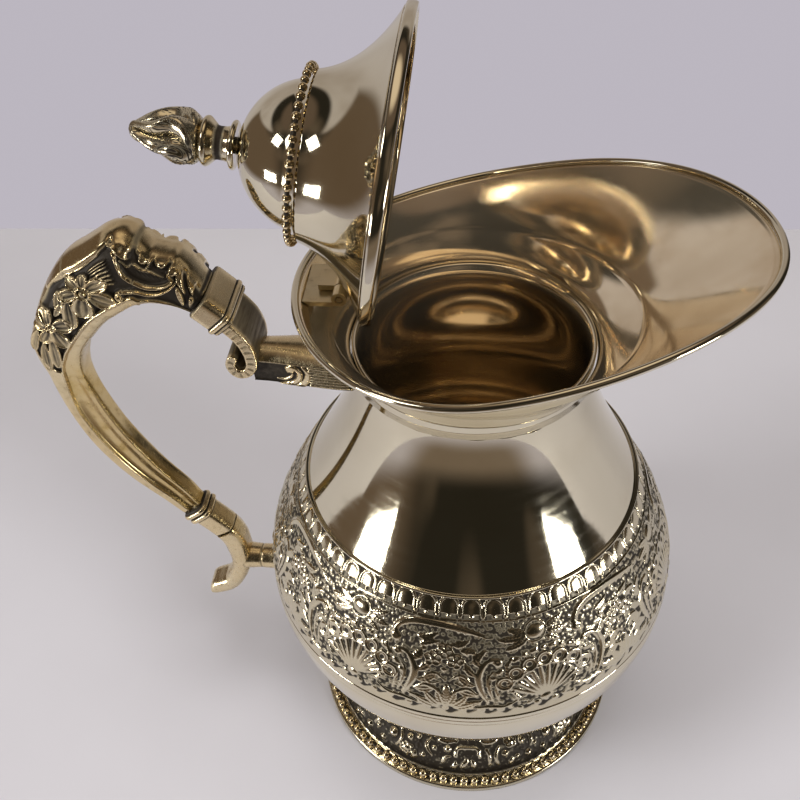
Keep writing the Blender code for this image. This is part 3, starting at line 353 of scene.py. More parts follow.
def yellowBrass(name, brush=(1.0, 1.0, 1.0), hasHollow=True, shine=0.16, hasGold=False):
    # cast handle brass: yellower, filed and brushed, dark where fingers and cloth never reach
    made, tree, shader, place = newMaterial(name)
    drag = noise(tree, place, cells["drag"], 4.0, 0.7, brush)
    patch = noise(tree, place, cells["patch"], 4.0, 0.6)
    blot = noise(tree, place, cells["blot"], 3.0, 0.6)
    pits = noise(tree, place, cells["pits"], 2.0, 0.5)
    colour = mixColour(tree, patch.step(0.36, 0.7), finish["yellow"], finish["yellowPale"])
    if hasGold:
        gilded = mark(tree, "gold") * (0.55 + blot.step(0.4, 0.7) * 0.45)
        colour = mixColour(tree, gilded, colour, finish["gold"])
    worn = drag.step(0.5, 0.85) * 0.5 + blot.step(0.55, 0.8) * 0.25
    colour = mixColour(tree, worn, colour, finish["yellowDark"])
    rough = shine + drag.step(0.35, 0.8) * 0.16 + pits.step(0.6, 0.75) * 0.10
    metallic = 1.0
    if hasHollow:
        hollow = mark(tree, "hollow")
        dirt = (hollow * (0.8 + patch * 0.5) + (drag - 0.5) * 0.3 * hollow.step(0.05, 0.4)).step(0.15, 0.85)
        colour = mixColour(tree, dirt, colour, finish["grime"])
        rough = rough + dirt * 0.32
        metallic = 1.0 - dirt * 0.5
    finishShader(tree, shader, colour, metallic, rough, drag * 0.5 + pits * 0.15, 0.000025)
    return made


paleBrass = polishedBrass("polished pale brass")
trimBrass = polishedBrass("polished trim brass", False)
bandBrass = chasedBrass("chased brass")
footBrass = chasedBrass("cast foot brass", 0.62)
finialBrass = chasedBrass("finial brass", 0.7, 0.3)
beadBrass = yellowBrass("bead brass", shine=0.1)
handleBrass = yellowBrass("handle brass", hasGold=True)
brushedBrass = yellowBrass("brushed handle brass", (2.6, 0.22, 2.6), shine=0.2)
strapBrass = yellowBrass("strap brass", hasHollow=False)
hingeBrass = yellowBrass("hinge brass", hasHollow=False, shine=0.3)
ringBrass = chasedBrass("base ring brass", 0.9)
print("materials made")


# body: neck, shoulder and belly in one raised shell, the outline as in the solids
body = {"neck": 34.6, "neckTop": 176.0, "collarLap": 5.0, "turnR": 52.6, "turnZ": 124.0, "bandEnd": 86.2,
        "belly": 69.6, "bellyZ": 80.0, "bottom": 30.0, "bottomZ": 26.5, "wall": 1.2, "steps": 240,
        "lineDown": 0.4, "lineProud": 0.9, "lineHalf": 0.62, "grooveZ": (81.5, 79.4), "grooveDeep": 0.16,
        "grooveHalf": 0.35, "bandSink": 0.5}
skirtZ = body["neckTop"] - body["collarLap"]
shoulderHigh = skirtZ - 1.0 - body["turnZ"]
shoulderPull = shoulderHigh * 0.30
bellyPull = (body["turnZ"] - body["bellyZ"]) * 0.34
neckR, turnR, turnZ = body["neck"], body["turnR"], body["turnZ"]
bellyR, bellyZ = body["belly"], body["bellyZ"]
bottomR, bottomZ = body["bottom"], body["bottomZ"]
# three curves from the neck over the turn of the shoulder and the belly to the bottom
bodyCurves = (((neckR, skirtZ - 1.0), (neckR + 0.4, skirtZ - shoulderHigh * 0.32),
               (turnR - 0.6 * shoulderPull, turnZ + shoulderPull), (turnR, turnZ)),
              ((turnR, turnZ), (turnR + 0.6 * bellyPull, turnZ - bellyPull),
               (bellyR, bellyZ + bellyPull), (bellyR, bellyZ)),
              ((bellyR, bellyZ), (bellyR, bellyZ - 20.0),
               (bottomR + (bellyR - bottomR) * 0.66, bottomZ + 6.0), (bottomR, bottomZ)))
bodyParts = [bezier(curve, np.linspace(0, 1, 400))[k > 0:] for k, curve in enumerate(bodyCurves)]
bodyPath = Path(np.concatenate([[(neckR, body["neckTop"])], *bodyParts]))
bodyLong = bodyPath.run[-1]


def runAt(z):
    return float(np.interp(-z, -bodyPath.line[:, 1], bodyPath.run))


bandStart, bandStop = runAt(turnZ), runAt(body["bandEnd"]) + 2.4


def makeBody():
    # rows stand close at the raised line and the two grooves, and wide apart between them
    lineRun = bandStart + body["lineDown"]
    fine = [lineRun + k * 0.12 for k in range(-9, 10)]
    for z in body["grooveZ"]:
        fine += [runAt(z) + k * 0.14 for k in range(-4, 5)]
    plain = list(np.arange(5.2, bandStart - 1.0, 1.0)) + list(np.arange(bandStart + 3.0, bandStop, 2.5))
    plain += list(np.arange(bandStop + 0.05, bodyLong, 1.1)) + [bandStop - 0.05, bodyLong]
    runs = np.array(sorted([0.0, 1.0, 4.9] + fine + plain))
    point, out = bodyPath.at(runs)
    line = body["lineProud"] * roundOff((runs - lineRun) / body["lineHalf"])
    under = np.where((runs > bandStart + 1.2) & (runs < bandStop), -body["bandSink"], 0.0)
    groove = sum(bump(runs, runAt(z), body["grooveHalf"]) for z in body["grooveZ"]) * body["grooveDeep"]
    outer = point + out * (line + under - groove)[:, None]
    clean, cleanOut = bodyPath.at(np.linspace(5.5, bodyLong - 2.0, 70))
    wall = body["wall"]
    inner = clean - cleanOut * wall
    inner = np.concatenate([[(neckR - wall, body["neckTop"])], inner, [(bottomR - wall, bottomZ + wall)]])
    profile = np.concatenate([[(0, bottomZ + wall)], inner[::-1], outer, [(0, bottomZ)]])
    inside = np.concatenate([np.ones(1 + len(inner)), np.zeros(len(outer) + 1)])
    mesh = turnedMesh("body", profile, body["steps"], marks={"inside": inside})
    addPiece("raisedBody", mesh, paleBrass, nodes=["body_shell"])


makeBody()
print("body turned")


# relief: heights drawn on a flat field, x along and t down, in mm
class Relief:
    def __init__(self, wide, tall, pitch=0.15, wraps=True):
        self.pitch, self.wraps = pitch, wraps
        self.cols, self.rows = int(round(wide / pitch)), int(round(tall / pitch)) + 1
        self.height = np.zeros((self.rows, self.cols))

    def window(self, points, margin):
        points = np.asarray(points, float).reshape(-1, 2)
        low, high = points.min(0) - margin, points.max(0) + margin
        cols = np.arange(math.floor(low[0] / self.pitch), math.ceil(high[0] / self.pitch) + 1)
        rows = np.arange(math.floor(low[1] / self.pitch), math.ceil(high[1] / self.pitch) + 1)
        rows = rows[(rows >= 0) & (rows < self.rows)]
        if not self.wraps:
            cols = cols[(cols >= 0) & (cols < self.cols)]
        x, t = np.meshgrid(cols * self.pitch, rows * self.pitch)
        return np.ix_(rows, cols % self.cols), x, t

    def lay(self, where, value, within, over=True):
        # a raised form is laid over what is there, a sunk one is added to it
        here = self.height[where]
        self.height[where] = np.where(within, np.maximum(here, value) if over else here + value, here)

    def stroke(self, points, half, high, ends=(0.3, 0.3), flat=False):
        # a line through the given points, swelling between the two end shares; a negative height cuts
        line = smoothLine(points, 8)
        where, x, t = self.window(line, half + 0.2)
        start, run = line[:-1], np.diff(line, axis=0)
        length = np.linalg.norm(run, axis=1)
        before = np.concatenate([[0], np.cumsum(length)])
        away = np.full(x.shape, 99.0)
        share = np.zeros(x.shape)
        for k, (runX, runT) in enumerate(run):
            fromX, fromT = x - start[k, 0], t - start[k, 1]
            along = np.clip((fromX * runX + fromT * runT) / length[k] ** 2, 0, 1)
            gap = np.hypot(fromX - along * runX, fromT - along * runT)
            near = gap < away
            away[near] = gap[near]
            share[near] = ((before[k] + along * length[k]) / before[-1])[near]
        swell = np.minimum(ends[0] + (1 - ends[0]) * np.sin(np.pi * np.clip(share, 0, 0.5)),
                           ends[1] + (1 - ends[1]) * np.sin(np.pi * np.clip(1 - share, 0, 0.5)))
        inside = np.clip(1 - (away / (half * swell)) ** 2, 0, 1)
        value = (inside if flat else np.sqrt(inside)) * high * (0.5 + 0.5 * swell)
        self.lay(where, value, inside > 0, over=high > 0)

    def dome(self, x0, t0, halfX, halfT, high, turn=0.0, dimple=0.0):
        where, x, t = self.window([(x0, t0)], max(halfX, halfT) + 0.2)
        c, s = math.cos(turn), math.sin(turn)
        u, v = ((x - x0) * c + (t - t0) * s) / halfX, (-(x - x0) * s + (t - t0) * c) / halfT
        inside = np.clip(1 - u * u - v * v, 0, 1)
        value = np.sqrt(inside) * high - dimple * np.exp(-(u * u + v * v) / 0.12)
        self.lay(where, value, inside > 0, over=high > 0)

    def ring(self, x0, t0, radius, half, high):
        where, x, t = self.window([(x0, t0)], radius + half + 0.2)
        inside = np.clip(1 - ((np.hypot(x - x0, t - t0) - radius) / half) ** 2, 0, 1)
        self.lay(where, np.sqrt(inside) * high, inside > 0)

    def along(self, foot, tip, margin):
        # a window round the line from foot to tip, the share along it and the distance to its side
        foot, tip = np.array(foot, float), np.array(tip, float)
        run = tip - foot
        length = np.hypot(*run)
        run /= length
        where, x, t = self.window([foot, tip], margin)
        share = ((x - foot[0]) * run[0] + (t - foot[1]) * run[1]) / length
        return where, share, (t - foot[1]) * run[0] - (x - foot[0]) * run[1], length

    def leaf(self, foot, tip, half, high, bend=0.0, vein=0.25, ribs=0.10, ribPitch=1.1):
        # a leaf with a sunk vein, raised edges and slanting ribs; bend bows it to one side
        where, along, across, length = self.along(foot, tip, half + abs(bend) + 0.3)
        across = across - bend * 4 * np.clip(along, 0, 1) * (1 - np.clip(along, 0, 1))
        width = half * np.sin(np.pi * np.clip(along, 0, 1) ** 0.8) ** 0.7 + 1e-6
        share = np.abs(across) / width
        inside = np.where((along > 0) & (along < 1), np.clip(1 - share ** 2, 0, 1), 0)
        value = high * inside ** 0.35 - vein * np.exp(-(across / 0.28) ** 2)
        slant = along * length - np.abs(across) * 0.9
        value += ribs * np.cos(2 * np.pi * slant / ribPitch) * np.clip(share * 2, 0, 1)
        self.lay(where, value, inside > 0.02)

    def flower(self, x0, t0, petals, reach, petal, high, turn=0.0, eye=1.1):
        # dished petals with raised edges round a ringed eye
        for k in range(petals):
            angle = turn + 2 * math.pi * k / petals
            c, s = math.cos(angle), math.sin(angle)
            cx, ct = x0 + reach * c, t0 + reach * s
            self.dome(cx, ct, petal, petal, high * 0.55)
            self.ring(cx, ct, petal * 0.86, petal * 0.2, high)
            self.stroke([(x0 + eye * c, t0 + eye * s), (cx, ct)], 0.22, -high * 0.3)
        self.dome(x0, t0, eye, eye, high * 1.25, dimple=high * 0.6)

    def grains(self, low, high, size, pitch, amount, seed):
        # stippling: small domes thrown over the ground between two depths
        here = np.random.default_rng(seed)
        wide = self.cols * self.pitch
        for t in np.arange(low, high, pitch):
            for x in np.arange(0, wide - pitch * 0.5, pitch):
                dx, dt, grow = here.normal(0, 0.22, 3)
                self.dome(x + dx * pitch, t + dt * pitch, size * (1 + grow), size * (1 + grow), amount)

    def blurred(self, radius):
        # wraps round in x, and t is padded with its own edges
        pad = int(radius * 3 / self.pitch)
        field = np.pad(self.height, ((pad, pad), (0, 0)), mode="edge")
        waveT = np.fft.fftfreq(field.shape[0], self.pitch)[:, None]
        waveX = np.fft.fftfreq(field.shape[1], self.pitch)[None]
        soft = np.exp(-2 * (math.pi * radius) ** 2 * (waveT ** 2 + waveX ** 2))
        return np.real(np.fft.ifft2(np.fft.fft2(field) * soft))[pad:-pad]

    def read(self, radius, x, t):
        return readField(self.blurred(radius), x, t, self.pitch, self.wraps)


def smoothLine(points, steps):
    # Catmull-Rom line through the points
    points = np.asarray(points, float)
    if len(points) < 3:
        return points
    padded = np.concatenate([points[:1], points, points[-1:]])
    share = np.arange(steps)[:, None] / steps
    line = []
    for k in range(1, len(padded) - 2):
        p0, p1, p2, p3 = padded[k - 1:k + 3]
        line.append(0.5 * (2 * p1 + (p2 - p0) * share + (2 * p0 - 5 * p1 + 4 * p2 - p3) * share ** 2
                           + (3 * p1 - p0 - 3 * p2 + p3) * share ** 3))
    return np.concatenate(line + [points[-1:]])


def readField(field, x, t, pitch, wraps=True):
    # bilinear value of a field at x, t
    u, v = x / pitch, np.clip(t / pitch, 0, field.shape[0] - 1.001)
    i, j = np.floor(v).astype(int), np.floor(u).astype(int)
    fv, fu = v - i, u - j
    if wraps:
        j0, j1 = j % field.shape[1], (j + 1) % field.shape[1]
    else:
        j0, j1 = np.clip(j, 0, field.shape[1] - 1), np.clip(j + 1, 0, field.shape[1] - 1)
    return ((field[i, j0] * (1 - fu) + field[i, j1] * fu) * (1 - fv)
            + (field[i + 1, j0] * (1 - fu) + field[i + 1, j1] * fu) * fv)


# chased band: seven shells with ribbons, florets and leaves between, under a row of arches
band = {"repeats": 7, "refR": 63.86, "firstShell": -119.1, "tall": 44.0, "columns": 1344, "rows": 148,
        "sectors": 4, "deep": 0.75, "fromLine": 0.9, "raggedAt": 40.6, "back": 0.9, "backStep": 21,
        "border": 8.7}
arch = {"count": 54, "first": -94.0, "footAt": 7.4, "half": 3.3, "spring": 3.3, "tall": 3.4, "wireR": 3.2,
        "wireHalf": 0.45, "high": 0.6, "bossR": 3.0, "bossHigh": 0.62, "beadR": 0.75, "beadHigh": 0.62}
repeatWide = 2 * math.pi * band["refR"] / band["repeats"]


def drawShell(draw):
    # ribs fanned from the shell's foot, cups and pearls round their ends, beads and a bud with leaves
    def ray(degrees, far):
        a = math.radians(degrees)
        return far * math.sin(a), 37.3 - far * math.cos(a)

    for degrees in np.linspace(-58, 58, 10):
        far = 11.6 - 1.2 * abs(math.sin(math.radians(degrees)))
        draw.stroke([ray(degrees, 1.5), ray(degrees, far)], 0.85, 0.62, (0.35, 0.9))
    for degrees in (-56, -37, -18, 1, 20, 39, 58):
        cup = ray(degrees, 14.3)
        draw.dome(*cup, 2.35, 2.35, 0.62)
        draw.ring(*cup, 2.2, 0.42, 0.8)
        draw.dome(*cup, 1.05, 1.05, -0.5)
        for turn in (-8, 0, 8):
            draw.dome(*ray(degrees + turn, 18.1), 0.95, 0.95, 0.6)
    draw.stroke([ray(degrees, 12.2) for degrees in np.linspace(-66, 66, 9)], 0.4, 0.7, (0.6, 0.6))
    for side in (-1, 1):
        for x, t in smoothLine([(8.0, 35.5), (10.6, 30.5), (11.2, 25.0), (9.5, 20.5)], 5):
            draw.dome(side * x, t, 0.62, 0.62, 0.72)
    draw.dome(0, 37.6, 2.0, 1.5, 0.8)
    draw.dome(-1.5, 13.0, 3.2, 2.6, 1.0)
    draw.ring(-1.5, 13.0, 3.5, 0.35, 0.6)
    for foot, tip, half in (((-4.6, 13.2), (-10.5, 11.0), 1.3), ((-5.0, 14.2), (-13.5, 14.4), 1.4),
                            ((-4.4, 15.4), (-11.5, 17.8), 1.2), ((1.9, 13.0), (8.2, 10.9), 1.2),
                            ((2.2, 14.3), (9.0, 15.2), 1.3), ((1.6, 15.6), (6.2, 18.2), 1.0)):
        draw.leaf(foot, tip, half, 0.7, ribs=0.12)


def drawSprays(draw):
    # curled stems with leaves on either side of the shell
    for side in (-1, 1):
        def at(*points):
            return [(side * x, t) for x, t in points]
        draw.stroke(at((16.5, 36.5), (18.6, 31), (19.2, 26), (17.0, 21.6), (13.6, 20.4)), 1.25, 0.95,
                    (0.35, 0.35))
        draw.stroke(at((14.8, 36.5), (16.2, 31), (16.4, 27), (14.6, 24.2)), 0.65, 0.6, (0.3, 0.3))
        draw.stroke(at((13.2, 36.8), (14.2, 32), (14.0, 28.5)), 0.55, 0.5, (0.3, 0.3))
        draw.dome(side * 13.6, 21.6, 1.5, 1.5, 0.9, dimple=0.4)
        for foot, tip in (((19.6, 33.5), (25.6, 31.5)), ((20.2, 30.0), (25.5, 26.6)),
                          ((20.0, 26.4), (23.6, 22.2)), ((18.2, 36.2), (25.0, 36.6)),
                          ((18.4, 23.0), (20.8, 18.8))):
            draw.leaf(*at(foot, tip), 1.35, 0.72, bend=side * 0.5)
        draw.stroke(at((8.5, 36.6), (12.0, 38.6), (17.0, 38.4), (22.5, 39.6)), 0.8, 0.7, (0.4, 0.3))


def drawBetween(draw):
    # a ribbon over three florets, and a plant with two curls under them
    middle = repeatWide / 2
    ribbon = [(12.2, 17.2), (11.7, 14.4), (13.6, 11.8), (17.0, 10.2), (22.0, 9.6), (28.0, 10.0), (35.0, 11.6),
              (41.5, 13.6)]
    draw.stroke(ribbon, 1.45, 0.85, (1.1, 0.15), flat=True)
    draw.stroke([(x, t - 0.75) for x, t in ribbon[1:]], 0.42, 1.05, (0.9, 0.2))
    draw.stroke([(x, t + 0.85) for x, t in ribbon[2:-1]], 0.3, 0.9, (0.8, 0.2))
    draw.dome(12.2, 16.8, 1.9, 1.9, 1.05, dimple=0.35)
    for x, t in ((-4.4, 21.2), (-1.2, 18.2), (2.2, 21.4)):
        draw.flower(middle + x, t, 5, 1.6, 1.2, 0.9, turn=0.3 + x, eye=0.9)
    for dx, dt in ((-7.4, 18.4), (5.6, 18.6), (-7.0, 24.0), (6.0, 24.2), (-1.2, 24.6)):
        draw.dome(middle + dx, dt, 0.9, 0.9, 0.6)
    for side in (-1, 1):
        def at(*points):
            return [(middle + side * x, t) for x, t in points]
        draw.stroke(at((1.0, 28.2), (3.6, 26.2), (6.2, 27.6), (5.2, 30.0), (2.6, 29.4)), 0.6, 0.75,
                    (0.4, 0.6))
        draw.stroke(at((0.6, 37.6), (2.2, 33.0), (6.0, 31.0), (9.2, 33.2)), 0.8, 0.8, (0.4, 0.5))
        for foot, tip in (((0.4, 38.4), (2.4, 31.4)), ((1.4, 38.6), (6.4, 33.0)), ((2.4, 39.2), (9.2, 36.2))):
            draw.leaf(*at(foot, tip), 1.5, 0.85, bend=side * 0.5)
    draw.leaf((middle, 39.0), (middle, 29.6), 1.5, 0.9)
    for foot, tip, bend in (((-9.4, 15.0), (-3.4, 12.4), 0.6), ((-8.6, 17.4), (-3.0, 15.4), -0.5),
                            ((0.6, 16.0), (6.4, 14.2), 0.6), ((8.4, 22.0), (11.8, 17.2), -0.6),
                            ((-11.2, 23.4), (-8.6, 19.2), 0.5), ((3.4, 17.8), (8.8, 18.6), -0.5)):
        draw.leaf((middle + foot[0], foot[1]), (middle + tip[0], tip[1]), 1.25, 0.82, bend=bend)


def drawBand():
    draw = Relief(repeatWide, band["tall"])
    draw.grains(9.2, band["raggedAt"] - 1.0, 0.66, 1.4, 0.34, 11)
    drawShell(draw)
    drawSprays(draw)
    drawBetween(draw)
    # a ragged fringe of petals along the lower edge
    ticks = 11
    for k in range(ticks):
        x = repeatWide * (k + 0.5) / ticks
        draw.dome(x, 40.0 + 0.5 * math.sin(k * 2.3), 1.15, 1.35, 0.62)
        draw.dome(x + repeatWide / ticks / 2, 39.0 + 0.4 * math.cos(k * 1.7), 0.75, 1.0, 0.5)
    return draw


def chasedHeights():
    # the drawing wound round the belly, with the small slips of hand work, and the arches added
    draw = drawBand()
    angle = turnSteps(band["columns"])
    run = np.linspace(band["fromLine"], band["tall"] - 0.4, band["rows"])
    a, t = np.meshgrid(angle, run)
    slipX = sum(0.16 * np.sin(k * a + p + 0.05 * t) for k, p in ((5, 1.0), (11, 2.2), (17, 0.4)))
    slipT = sum(0.14 * np.sin(k * a + p) for k, p in ((3, 0.3), (7, 1.9), (13, 2.8)))
    x = (a - math.radians(band["firstShell"])) * band["refR"] + slipX
    depth = t + slipT
    height, around = draw.read(0.16, x, depth), draw.read(1.3, x, depth)
    # u and v run across and up each arch, rise is the distance from its middle
    pitch = 360.0 / arch["count"]
    turn = np.degrees(a) - arch["first"]
    u = (turn - np.round(turn / pitch) * pitch) * math.pi / 180 * band["refR"]
    v = arch["footAt"] - depth
    half, spring = arch["half"], arch["spring"]
    rise = np.where(v > spring, np.hypot(u / half, (v - spring) / arch["tall"]), np.abs(u) / half) * half
    wire = roundOff((rise - arch["wireR"]) / arch["wireHalf"]) * arch["high"] * (v > 0.9)
    boss = arch["bossHigh"] * roundOff(rise / arch["bossR"]) - 0.12
    wide = math.radians(pitch) * band["refR"]
    gap = (u / wide * 2 - np.round(u / wide * 2)) * wide / 2
    beads = arch["beadHigh"] * np.sqrt(np.clip(1 - (gap ** 2 + (v - 0.7) ** 2) / arch["beadR"] ** 2, 0, 1))
    line = 0.5 * bump(v, -0.75, 0.32)
    step = np.where((v > -1.1) & (depth < 9), 1.0, 0.0)
    raised = np.maximum.reduce([wire, np.where((rise < 2.95) & (v > 1.3), boss, 0), beads, line])
    between = (rise >= 3.7) * 0.14 * np.sin(2 * np.pi * depth / 0.9) * (v > 1.3)
    top = smoothStep(depth, band["border"], band["border"] - 0.4)
    height = height * (1 - top) + (raised + between) * top * step
    around = around * (1 - top) + 0.22 * top
    ragged = band["raggedAt"] + 0.7 * np.sin(77 * a) + 0.4 * np.sin(31 * a + 1)
    start = band["fromLine"]
    fade = smoothStep(depth, ragged + 0.8, ragged - 0.2) * smoothStep(t, start, start + 0.5)
    hollow = np.clip((around - height + 0.06) / 0.42, 0, 1)
    hollow = np.maximum(hollow, np.clip(0.82 - height * 1.75, 0, 1))
    edges = 0.5 * bump(rise, 2.85, 0.22) + 0.55 * (raised < 0.06) + 0.5 * (rise > 3.75) * (v > 1.3)
    hollow = (hollow * (1 - top * step) + edges * top * step) * fade
    return run, angle, height * fade * band["deep"] - 0.12 * fade + 0.02, hollow


def makeBand():
    # four quarters, each closed by a coarse back; shared normals keep the joints from showing
    run, angle, height, hollow = chasedHeights()
    point, out = bodyPath.at(bandStart + run)
    grid = wound(point[:, None] + out[:, None] * height[..., None], angle)
    normal = outwardNormals(grid)
    cols, rows = len(angle), len(run)
    per = cols // band["sectors"]
    wide = per + 1
    backRows = np.arange(0, rows, band["backStep"])
    backLine = point[backRows] - out[backRows] * band["back"]
    for sector in range(band["sectors"]):
        pick = np.arange(sector * per, sector * per + wide) % cols
        front, face, hole = grid[:, pick], normal[:, pick], hollow[:, pick]
        turn = angle[pick]
        back = wound(backLine, turn)
        quads = gridQuads(rows, wide)
        behind = gridQuads(len(backRows), wide, first=rows * wide)[:, ::-1]
        extra = []
        f = np.arange(rows * wide).reshape(rows, wide)
        b = rows * wide + np.arange(len(backRows) * wide).reshape(len(backRows), wide)
        for k in range(per):
            extra.append((f[0, k], f[0, k + 1], b[0, k + 1], b[0, k]))
            extra.append((f[-1, k + 1], f[-1, k], b[-1, k], b[-1, k + 1]))
        for j, (r0, r1) in enumerate(zip(backRows, backRows[1:])):
            extra.append(tuple(list(f[r0:r1 + 1, 0])[::-1] + [b[j, 0], b[j + 1, 0]]))
            extra.append(tuple(list(f[r0:r1 + 1, -1]) + [b[j + 1, -1], b[j, -1]]))
        name = "chasedBand" + "ABCD"[sector]
        mesh = buildMesh(name, np.concatenate([front.reshape(-1, 3), back.reshape(-1, 3)]),
                         np.concatenate([quads, behind]), extra,
                         marks={"hollow": np.concatenate([hole.ravel(), np.ones(back.shape[0] * wide)])})
        inward = polar(-1.0, 0.0, turn)
        mesh.normals_split_custom_set_from_vertices(
            np.concatenate([face.reshape(-1, 3), np.tile(inward, (len(backRows), 1))]).tolist())
        addPiece(name, mesh, bandBrass, nodes=["body_shell"])


makeBand()
print("band chased")


# collar and spout: one sheet from the round neck over the lid's crease to the long lip
collar = {"skirtIn": 34.9, "wall": 1.1, "ledgeZ": 185.0, "ledgeR": 39.5, "ledgeFront": 46.0, "rimRise": 8.3,
          "lipRise": 17.0, "lipShare": 0.62, "halfWide": 49.4, "rear": 47.3, "front": 74.5, "widestX": 5.0,
          "steps": 256, "wire": 1.1}
rimZ = collar["ledgeZ"] + collar["rimRise"]


def collarPoint(angle, stage):
    # stage 0 is the neck, 1 the crease that the lid sits on, 2 the rim
    c, s = np.cos(angle), np.sin(angle)
    neckZ = body["neckTop"] - 2.0
    ledgeR, widest = collar["ledgeR"], collar["widestX"]
    ledge = np.stack([np.where(c >= 0, collar["ledgeFront"], ledgeR) * c, ledgeR * s], -1)
    reach = np.where(c >= 0, collar["front"] - widest, collar["rear"] + widest)
    rim = np.stack([widest + reach * c, collar["halfWide"] * s], -1)
    lipFrom = collar["rear"] * collar["lipShare"]
    rise = np.clip((rim[..., 0] + lipFrom) / (collar["front"] + lipFrom), 0, 1)
    topZ = rimZ + collar["lipRise"] * rise ** 2 * (3 - 2 * rise)
    neck = collar["skirtIn"] * np.stack([c, s], -1)
    low = np.clip(stage, 0, 1)
    up = np.clip(stage - 1, 0, 1)
    flat = neck + (ledge - neck) * (low ** 1.7)[..., None]
    flat = flat + (rim - ledge) * (up ** 1.25)[..., None]
    z = neckZ + (collar["ledgeZ"] - neckZ) * low + (topZ - collar["ledgeZ"]) * up
    return np.concatenate([flat, z[..., None]], -1)


def makeCollar():
    angle = turnSteps(collar["steps"])
    stages = np.concatenate([np.linspace(0, 1, 17), 1 + np.linspace(0, 1, 25)[1:]])
    a, s = np.meshgrid(angle, stages)
    inner = collarPoint(a, s)
    inner = np.concatenate([polar(collar["skirtIn"], skirtZ, angle)[None], inner])
    out = outwardNormals(inner)
    out[0] = polar(1.0, 0.0, angle)
    outer = inner + out * collar["wall"]
    outer[0, :, 2] = skirtZ
    loop = np.concatenate([inner, outer[::-1]])
    inside = np.concatenate([np.ones(len(inner)), np.zeros(len(outer))]).repeat(len(angle))
    mesh = tubeMesh("collar", loop, marks={"inside": inside}, wrapRows=True)
    addPiece("collarSpout", mesh, paleBrass, nodes=["collar_spout"])
    top, under = inner[-1], inner[-2]
    rise = top - under
    rise /= np.linalg.norm(rise, axis=1, keepdims=True)
    # the line that the rim wire follows, on the middle of the wall
    return top + out[-1] * collar["wall"] / 2 + rise * collar["wire"]


rimLine = makeCollar()
print("collar drawn up")


# geometry nodes: beads round a ring, wires along a line and the twisted flame
def newTree(name, sizes):
    # a modifier tree with named inputs; sizes maps each name to its value
    tree = bpy.data.node_groups.new(name, "GeometryNodeTree")
    tree.interface.new_socket("Geometry", in_out="INPUT", socket_type="NodeSocketGeometry")
    for key, value in sizes.items():
        kind = "NodeSocketInt" if isinstance(value, int) else "NodeSocketFloat"
        tree.interface.new_socket(key, in_out="INPUT", socket_type=kind)
    tree.interface.new_socket("Material", in_out="INPUT", socket_type="NodeSocketMaterial")
    tree.interface.new_socket("Geometry", in_out="OUTPUT", socket_type="NodeSocketGeometry")
    start = tree.nodes.new("NodeGroupInput")
    return tree, {socket.name: Wire(socket) for socket in start.outputs if socket.name}


def storeHollow(tree, shape, value):
    return makeNode(tree, "GeometryNodeStoreNamedAttribute", {"data_type": "FLOAT", "domain": "POINT"},
                    {"Geometry": shape, "Name": "hollow", "Value": value})


def endTree(tree, inputs, shape):
    # every tree ends in Realize Instances and Set Material
    smooth = makeNode(tree, "GeometryNodeSetShadeSmooth", {}, {"Geometry": shape})
    real = makeNode(tree, "GeometryNodeRealizeInstances", {}, {"Geometry": smooth})
    painted = makeNode(tree, "GeometryNodeSetMaterial", {}, {"Geometry": real,
                                                             "Material": inputs["Material"]})
    result = tree.nodes.new("NodeGroupOutput")
    tree.links.new(painted.socket, result.inputs[0])


def runTree(name, tree, sizes, material, carrier=None, place=None):
    # gives the tree a carrier mesh, sets its inputs by identifier and keeps the evaluated mesh
    holder = newObject(name + "Carrier", carrier or bpy.data.meshes.new(name + "Carrier"))
    grow = holder.modifiers.new("Grow", "NODES")
    grow.node_group = tree
    for item in tree.interface.items_tree:
        if item.item_type == "SOCKET" and item.in_out == "INPUT":
            if item.name in sizes:
                grow[item.identifier] = sizes[item.name]
            elif item.name == "Material":
                grow[item.identifier] = material
    seen = holder.evaluated_get(bpy.context.evaluated_depsgraph_get())
    made = bpy.data.meshes.new_from_object(seen)
    made.name = name
    holder.modifiers.clear()
    bpy.data.objects.remove(holder, do_unlink=True)
    made.transform(Matrix.Scale(mm, 4))
    made.transform(place or onAxis)
    return made


